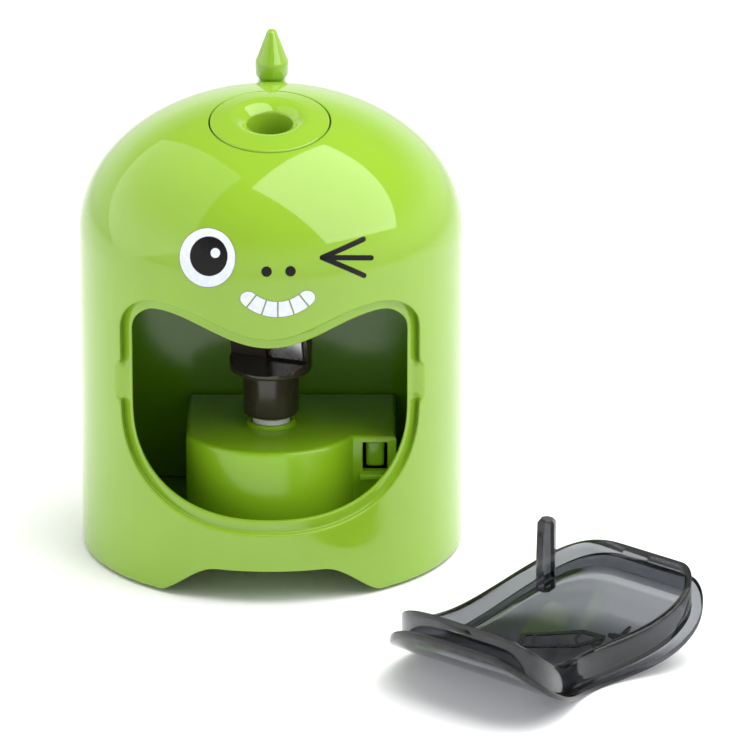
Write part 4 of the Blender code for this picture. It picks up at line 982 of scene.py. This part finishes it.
def cover_place():
    """From the cover's seat in the body to where it lies on the table."""
    towards = Vector((cos(COVER_HEADING), sin(COVER_HEADING), 0.0))
    aside = Vector((-sin(COVER_HEADING), cos(COVER_HEADING), 0.0))
    up = Vector((0.0, 0.0, 1.0))
    across = aside * cos(COVER_ROLL) + up * sin(COVER_ROLL)
    inwards = up * cos(COVER_ROLL) - aside * sin(COVER_ROLL)
    turn = Matrix((across, inwards, towards)).transposed()
    axis_point = Vector((*COVER_AT, BODY_R + 0.02))
    return Matrix.Translation(axis_point - turn @ Vector((0.0, 0.0, COVER_MID_Z))) @ turn.to_4x4()


def build_cover():
    """The smoke-clear cover: one closed skin with a flange, a rim wall, snap ribs and a post."""
    count = 260
    base = even(opening_outline(), count)
    normals = inward(base)
    centre = np.array([0.0, 38.0])
    skin_r = BODY_R - COVER_SKIN
    wall_in = LEDGE + COVER_GAP
    wall_on = wall_in + COVER_WALL

    def loop(inset, radius, push=0.0, shrink=1.0):
        points = []
        for (x, z), (nx, nz) in zip(base, normals):
            px = centre[0] + (x + nx * inset - centre[0]) * shrink
            pz = centre[1] + (z + nz * inset - centre[1]) * shrink
            points.append((px, push - sqrt(radius ** 2 - px * px), pz))
        return points

    fill = [0.012, 0.2, 0.4, 0.6, 0.8, 0.95]
    edge = 0.35
    loops = [loop(COVER_GAP + 0.8, BODY_R, shrink=s) for s in fill]
    loops += [loop(COVER_GAP + 0.8, BODY_R), loop(COVER_GAP + edge, BODY_R)]
    for i in range(1, 5):
        angle = pi / 2 * i / 4
        loops.append(loop(COVER_GAP + edge * (1 - sin(angle)), BODY_R - edge * (1 - cos(angle))))
    loops += [loop(COVER_GAP, skin_r + 0.3), loop(COVER_GAP + 0.15, skin_r + 0.05)]
    loops += [loop(COVER_GAP + 0.4, skin_r)]
    loops += [loop(wall_in - 0.35, skin_r), loop(wall_in - 0.1, skin_r - 0.1), loop(wall_in, skin_r - 0.35)]
    loops += [loop(wall_in, skin_r, push=h) for h in (2.0, 4.0, COVER_WALL_H - 0.4)]
    rim = COVER_WALL_H
    loops += [loop(inset, skin_r, push=h) for inset, h in ((wall_in + 0.15, rim - 0.12), (wall_in + 0.4, rim),
                                                           (wall_on - 0.4, rim), (wall_on - 0.1, rim - 0.12))]
    loops += [loop(wall_on, skin_r, push=h) for h in (COVER_WALL_H - 0.4, 4.0, 2.0, 0.8)]
    loops += [loop(wall_on + 0.12, skin_r, push=0.3), loop(wall_on + 0.5, skin_r, push=0.05),
              loop(wall_on + 1.0, skin_r)]
    loops += [loop(wall_on + 1.0, skin_r, shrink=s) for s in reversed(fill)]
    place = cover_place()
    cover = loft("shavings_cover_fine", loops, SMOKE, None, place=place, smooth=radians(40))
    tools = [('UNION', build_post(place))]
    wall_x = OPEN_HALF - wall_in
    rib_y = COVER_WALL_H - sqrt(skin_r ** 2 - wall_x ** 2) - 1.9
    for side, sign in (("left", -1), ("right", 1)):
        rib_z = (SCOOP_Z[0] + 0.6, SCOOP_Z[1] - 0.6)
        profile = [(0.01, rib_z[1]), (0.4, rib_z[1] - 0.1), (0.7, rib_z[1] - 0.6), (0.7, rib_z[0] + 0.6),
                   (0.4, rib_z[0] + 0.1), (0.01, rib_z[0])]
        tools.append(('UNION', turned(f"rib_{side}", profile, (sign * (wall_x - 0.25), rib_y), SMOKE, None,
                                      steps=20, place=place)))
    apply_booleans(cover, tools)
    finish_mesh(cover, SMOKE, radians(40))
    mark_inside(cover, place, base, normals, wall_on)
    stand_for(cover, "cover", "shavings_cover")


def mark_inside(cover, place, base, normals, wall_on):
    """An attribute that is 1 on the skin inside the rim wall and 0 elsewhere."""
    back = (to_metres(place)).inverted()
    share = cover.data.attributes.new("inside_wall", 'FLOAT', 'POINT')
    for vertex in cover.data.vertices:
        x, y, z = back @ vertex.co
        near = np.hypot(base[:, 0] - x, base[:, 1] - z).argmin()
        depth = (base[near] * -1 + (x, z)) @ normals[near]
        on_skin = abs(hypot(x, y) - BODY_R + COVER_SKIN) < 0.2
        share.data[vertex.index].value = 1.0 if on_skin and depth > wall_on + 0.7 else 0.0


def build_post(place):
    """The tapered hexagonal post with a chamfered tip."""
    foot = -sqrt((BODY_R - COVER_SKIN / 2) ** 2 - POST_AT[0] ** 2)
    chamfer = 0.7
    base_across, tip_across = POST_ACROSS
    widths = [(foot, base_across), (POST_TIP_Y - chamfer, tip_across), (POST_TIP_Y, tip_across - 1.2)]
    loops = []
    for y, across in widths:
        radius = across / sqrt(3)
        angles = [pi / 3 * k + pi / 6 for k in range(6)]
        loops.append([(POST_AT[0] + radius * cos(a), y, POST_AT[1] + radius * sin(a)) for a in angles])
    return loft("post", loops, SMOKE, None, place=place)


def emblem_stroke(name, points, width, place, closed=False):
    """A fine raised line on the inside of the cover's skin, from a list of (x, z) corners."""
    radius = BODY_R - COVER_SKIN
    ends = points + points[:1] if closed else points
    parts = []
    for start, end in zip(ends[:-1], ends[1:]):
        parts.append(stroke_rows(start, end, width, steps=10))
    for k, rows in enumerate(parts):
        loops = []
        for row in rows:
            ring = [(x, -sqrt((radius + 0.05) ** 2 - x * x), z) for x, z in row]
            ring += [(x, -sqrt((radius - 0.22) ** 2 - x * x), z) for x, z in reversed(row)]
            loops.append(ring)
        piece = loft(f"{name}_{k + 1}", loops, INK_DARK, "cover", place=place, smooth=radians(50))


def star(x, z, size, waist=0.22):
    """A four-pointed sparkle."""
    corners = []
    for k in range(8):
        radius = size if k % 2 == 0 else size * waist
        angle = pi / 4 * k + pi / 2
        corners.append((x + radius * cos(angle), z + radius * sin(angle)))
    return corners


def build_emblem():
    """Two sparkles and a plain little pencil, moulded as fine lines in the cover."""
    place = cover_place()
    emblem_stroke("sparkle_large", star(15.5, 49.5, 2.8), 0.8, place, closed=True)
    emblem_stroke("sparkle_small", star(12.0, 46.5, 1.7), 0.6, place, closed=True)
    tilt = radians(62)
    along, side = Vector((cos(tilt), sin(tilt))), Vector((-sin(tilt), cos(tilt)))
    origin = Vector((6.5, 31.0))

    def spot(a, b):
        return tuple(origin + along * a + side * b)

    half, body_end, tip = 2.3, 12.0, 17.0
    emblem_stroke("doodle_pencil", [spot(0, -half), spot(body_end, -half), spot(tip, 0), spot(body_end, half),
                                    spot(0, half)], 0.9, place, closed=True)
    fine = (("doodle_cone", [spot(body_end, -half), spot(body_end - 0.8, 0), spot(body_end, half)]),
            ("doodle_band", [spot(2.4, -half), spot(2.4, half)]),
            ("doodle_lead", [spot(tip - 1.6, -0.6), spot(tip - 1.6, 0.6)]))
    for name, points in fine:
        emblem_stroke(name, points, 0.7, place)


# ---------------------------------------------------------------- back and base

def build_door():
    """The battery door: a curved panel with round edges and a ribbed thumb grip."""
    half_z = (DOOR_Z[1] - DOOR_Z[0]) / 2
    middle = (0.0, (DOOR_Z[0] + DOOR_Z[1]) / 2)
    base = even(rounded_rectangle(DOOR_HALF - 0.3, half_z - 0.3, DOOR_CORNER - 0.3, middle), 240)
    normals = inward(base)
    edge = 0.4

    def loop(inset, radius, shrink=1.0):
        points = []
        for (x, z), (nx, nz) in zip(base, normals):
            px, pz = (x + nx * inset) * shrink, middle[1] + (z + nz * inset - middle[1]) * shrink
            points.append((px, sqrt(radius ** 2 - px * px), pz))
        return points

    fill = [0.01, 0.1, 0.2, 0.3, 0.4, 0.5, 0.6, 0.7, 0.8, 0.9]
    loops = [loop(0.8, BODY_R, s) for s in fill] + [loop(0.8, BODY_R), loop(edge, BODY_R)]
    loops += [loop(edge * (1 - sin(a)), BODY_R - edge * (1 - cos(a))) for a in np.linspace(0, pi / 2, 5)[1:]]
    loops += [loop(0.0, BODY_R - DOOR_SKIN), loop(0.8, BODY_R - DOOR_SKIN)]
    loops += [loop(0.8, BODY_R - DOOR_SKIN, s) for s in reversed(fill)]
    door = loft("battery_door_fine", loops)
    tools = []
    for i in range(5):
        z = DOOR_Z[1] - 8.0 - 2.2 * i
        rows = stroke_rows((-7.5 + i * 0.9, z), (7.5 - i * 0.9, z), 1.1, steps=20)
        ribs = []
        for row in rows:
            ring = [(x, sqrt((BODY_R - 0.5) ** 2 - x * x), zz) for x, zz in row]
            lifts = (0.08, 0.36, 0.45, 0.36, 0.08)
            ring += [(x, sqrt((BODY_R + lift) ** 2 - x * x), zz) for (x, zz), lift in zip(reversed(row), lifts)]
            ribs.append(ring)
        tools.append(('UNION', loft(f"grip_{i}", ribs)))
    apply_booleans(door, tools)
    finish_mesh(door, LIME, radians(40))
    true_normals(door)
    stand_for(door, "door", "battery_door")


def node_middle(name):
    low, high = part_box(name)
    return ((low[0] + high[0]) / 2 - AXIS.x) / MM, ((low[1] + high[1]) / 2 - AXIS.y) / MM


def build_feet_and_screws():
    for i in range(1, 5):
        name = f"rubber_foot_{i}"
        profile = [(0.01, 3.0), (4.2, 3.0), (4.6, 2.6), (4.6, 0.7), (4.45, 0.25), (4.1, 0.0), (3.0, 0.0),
                   (2.6, 0.35), (0.01, 0.35)]
        foot = turned(f"{name}_fine", profile, node_middle(name), RUBBER, "root", steps=48)
        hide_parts(name)
        name = f"base_screw_{i}"
        low, high = (v[2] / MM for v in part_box(name))
        head = [(0.01, high), (0.5, high), (1.0, high - 0.6), (1.0, low + 1.5), (2.3, low + 1.5), (2.3, low + 0.6),
                (2.1, low + 0.25), (1.6, low + 0.03), (0.01, low)]
        screw = turned(f"{name}_fine", head, node_middle(name), STEEL, None, steps=40)
        x, y = node_middle(name)
        bars = [block("bar", (x - a, x + a), (y - b, y + b), (low - 1, low + 0.8), STEEL, None)
                for a, b in ((1.3, 0.26), (0.26, 1.3))]
        cut_finish(screw, bars, STEEL)
        stand_for(screw, "root", name)


def dress_cad_nodes():
    """Procedural finishes for the CAD solids that keep their shape."""
    finishes = {
        # the rear partition takes the inner lime, whose darker green is painted shade
        "base_plate": BASE_GREEN, "rear_partition": LIME_INNER_SHADED, "gearbox_plate": GREY, "output_bush": BRASS,
        "output_gear": WHITE, "idler_gear": WHITE, "idler_pin": STEEL, "motor_pinion": BRASS,
        "motor_shaft": STEEL, "motor_can": ZINC, "motor_end_cap": WHITE, "push_rod": STEEL,
        "start_switch": BLACK, "start_plunger": WHITE,
        "interlock_switch": BLACK, "cell_cradle_left": BLACK, "cell_cradle_right": BLACK,
        "cell_spring_left": SPRING, "cell_spring_right": SPRING, "contact_plate": SPRING,
        "contact_bridge": SPRING,
    }
    finishes.update({f"gearbox_screw_{i}": STEEL for i in range(1, 5)})
    jacket = cell_jacket()
    finishes.update({"cell_left": jacket, "cell_right": jacket})
    for name, material in finishes.items():
        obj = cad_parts[name]
        obj.data.materials.clear()
        obj.data.materials.append(material)


def cell_jacket():
    """A plain cell wrapper: dark sleeve with a copper-coloured end band."""
    nodes = Nodes("cell_jacket")
    geometry = nodes.place()
    split = nodes.add("ShaderNodeSeparateXYZ")
    nodes.link(geometry, split.inputs["Vector"])
    level = nodes.add("ShaderNodeMapRange")
    level.inputs["From Min"].default_value = 0.013
    level.inputs["From Max"].default_value = 0.0655
    nodes.link(split.outputs["Z"], level.inputs["Value"])
    colour = nodes.ramp(level.outputs["Result"], [(0.0, srgb(60, 62, 66)), (0.74, srgb(40, 42, 46)),
                                                  (0.76, srgb(186, 120, 66)), (1.0, srgb(196, 132, 76))])
    nodes.link(colour, nodes.shader.inputs["Base Color"])
    nodes.set(Metallic=0.6)
    nodes.link(nodes.span(nodes.noise(300.0), 0.25, 0.4), nodes.shader.inputs["Roughness"])
    return nodes.material


# ---------------------------------------------------------------- stage

CAMERA_RISE = radians(19.6)
CAMERA_DISTANCE = 1500.0
CAMERA_AIM = (21.6, -2.9, 36.9)
CAMERA_LENS = 344.7


def build_camera():
    data = bpy.data.cameras.new("camera")
    data.lens = CAMERA_LENS
    data.sensor_width = 36.0
    data.clip_end = 50.0
    data.clip_start = 0.05
    camera = bpy.data.objects.new("camera", data)
    bpy.context.scene.collection.objects.link(camera)
    back = Vector((0.0, -cos(CAMERA_RISE), sin(CAMERA_RISE))) * CAMERA_DISTANCE
    camera.location = AXIS + (Vector(CAMERA_AIM) + back) * MM
    camera.rotation_euler = (pi / 2 - CAMERA_RISE, 0.0, 0.0)
    bpy.context.scene.camera = camera


def softbox(name, at, along, size, radiance):
    """A rectangular light aimed at the object; along is the direction of its longer side."""
    data = bpy.data.lights.new(name, 'AREA')
    data.shape = 'RECTANGLE'
    data.size, data.size_y = size
    data.energy = radiance * pi * size[0] * size[1]
    light = bpy.data.objects.new(name, data)
    bpy.context.scene.collection.objects.link(light)
    away = (Vector(at) - Vector((0.0, 0.0, 0.05))).normalized()
    side = (Vector(along) - away * away.dot(Vector(along))).normalized()
    turn = Matrix((side, away.cross(side), away)).transposed()
    light.matrix_world = Matrix.Translation(AXIS + Vector(at)) @ turn.to_4x4()


def build_fill(strength):
    """Even light from above that leaves no reflection of its own."""
    data = bpy.data.lights.new("ceiling", 'SUN')
    data.energy = strength * pi
    data.angle = radians(70)
    fill = bpy.data.objects.new("ceiling", data)
    fill.rotation_euler = (radians(-12), radians(6), 0.0)
    fill.visible_glossy = False
    bpy.context.scene.collection.objects.link(fill)


def build_world():
    """A white room that is dimmer overhead."""
    world = bpy.data.worlds.new("studio")
    bpy.context.scene.world = world
    world.use_nodes = True
    tree = world.node_tree
    place = tree.nodes.new("ShaderNodeTexCoord")
    split = tree.nodes.new("ShaderNodeSeparateXYZ")
    tree.links.new(place.outputs["Generated"], split.inputs["Vector"])
    ramp = tree.nodes.new("ShaderNodeValToRGB")
    stops = [(0.0, 1.0), (0.22, 1.0), (0.55, 0.26), (1.0, 0.2)]
    while len(ramp.color_ramp.elements) < len(stops):
        ramp.color_ramp.elements.new(0.5)
    for element, (position, level) in zip(ramp.color_ramp.elements, stops):
        element.position = position
        element.color = (level, level, level, 1.0)
    tree.links.new(split.outputs["Z"], ramp.inputs["Fac"])
    tree.links.new(ramp.outputs["Color"], tree.nodes["Background"].inputs["Color"])
    tree.nodes["Background"].inputs["Strength"].default_value = 1.0


def build_stage():
    bpy.context.scene.view_settings.view_transform = 'Standard'
    half = 6.0
    mesh = bpy.data.meshes.new("floor")
    corners = [(-half, -half, 0), (half, -half, 0), (half, half, 0), (-half, half, 0)]
    mesh.from_pydata(corners, [], [(0, 1, 2, 3)])
    floor = bpy.data.objects.new("floor", mesh)
    bpy.context.scene.collection.objects.link(floor)
    nodes = Nodes("paper")
    speck = nodes.noise(6.0, 2.0)
    nodes.link(nodes.ramp(speck, [(0.3, (0.93, 0.93, 0.93)), (0.7, (0.95, 0.95, 0.95))]),
               nodes.shader.inputs["Base Color"])
    nodes.set(Roughness=0.7, Specular_IOR_Level=0.2)
    mesh.materials.append(nodes.material)
    build_world()
    build_fill(0.62)
    softbox("key_right", (0.25, -0.10, 0.46), (0.36, -0.30, -0.39), (0.62, 0.48), 3.0)
    softbox("panel_left", (-0.52, 0.02, 0.40), (0.21, 0.40, 0.56), (0.95, 0.80), 0.8)


build_camera()
build_stage()
build_shell()
build_frame()
guide_seam_ring()
build_guide()
build_spike()
build_face()
build_housing()
build_button()
build_carrier()
build_blade()
build_collar()
build_springs()
build_cover()
build_emblem()
build_door()
build_feet_and_screws()
dress_cad_nodes()

bpy.context.view_layer.update()
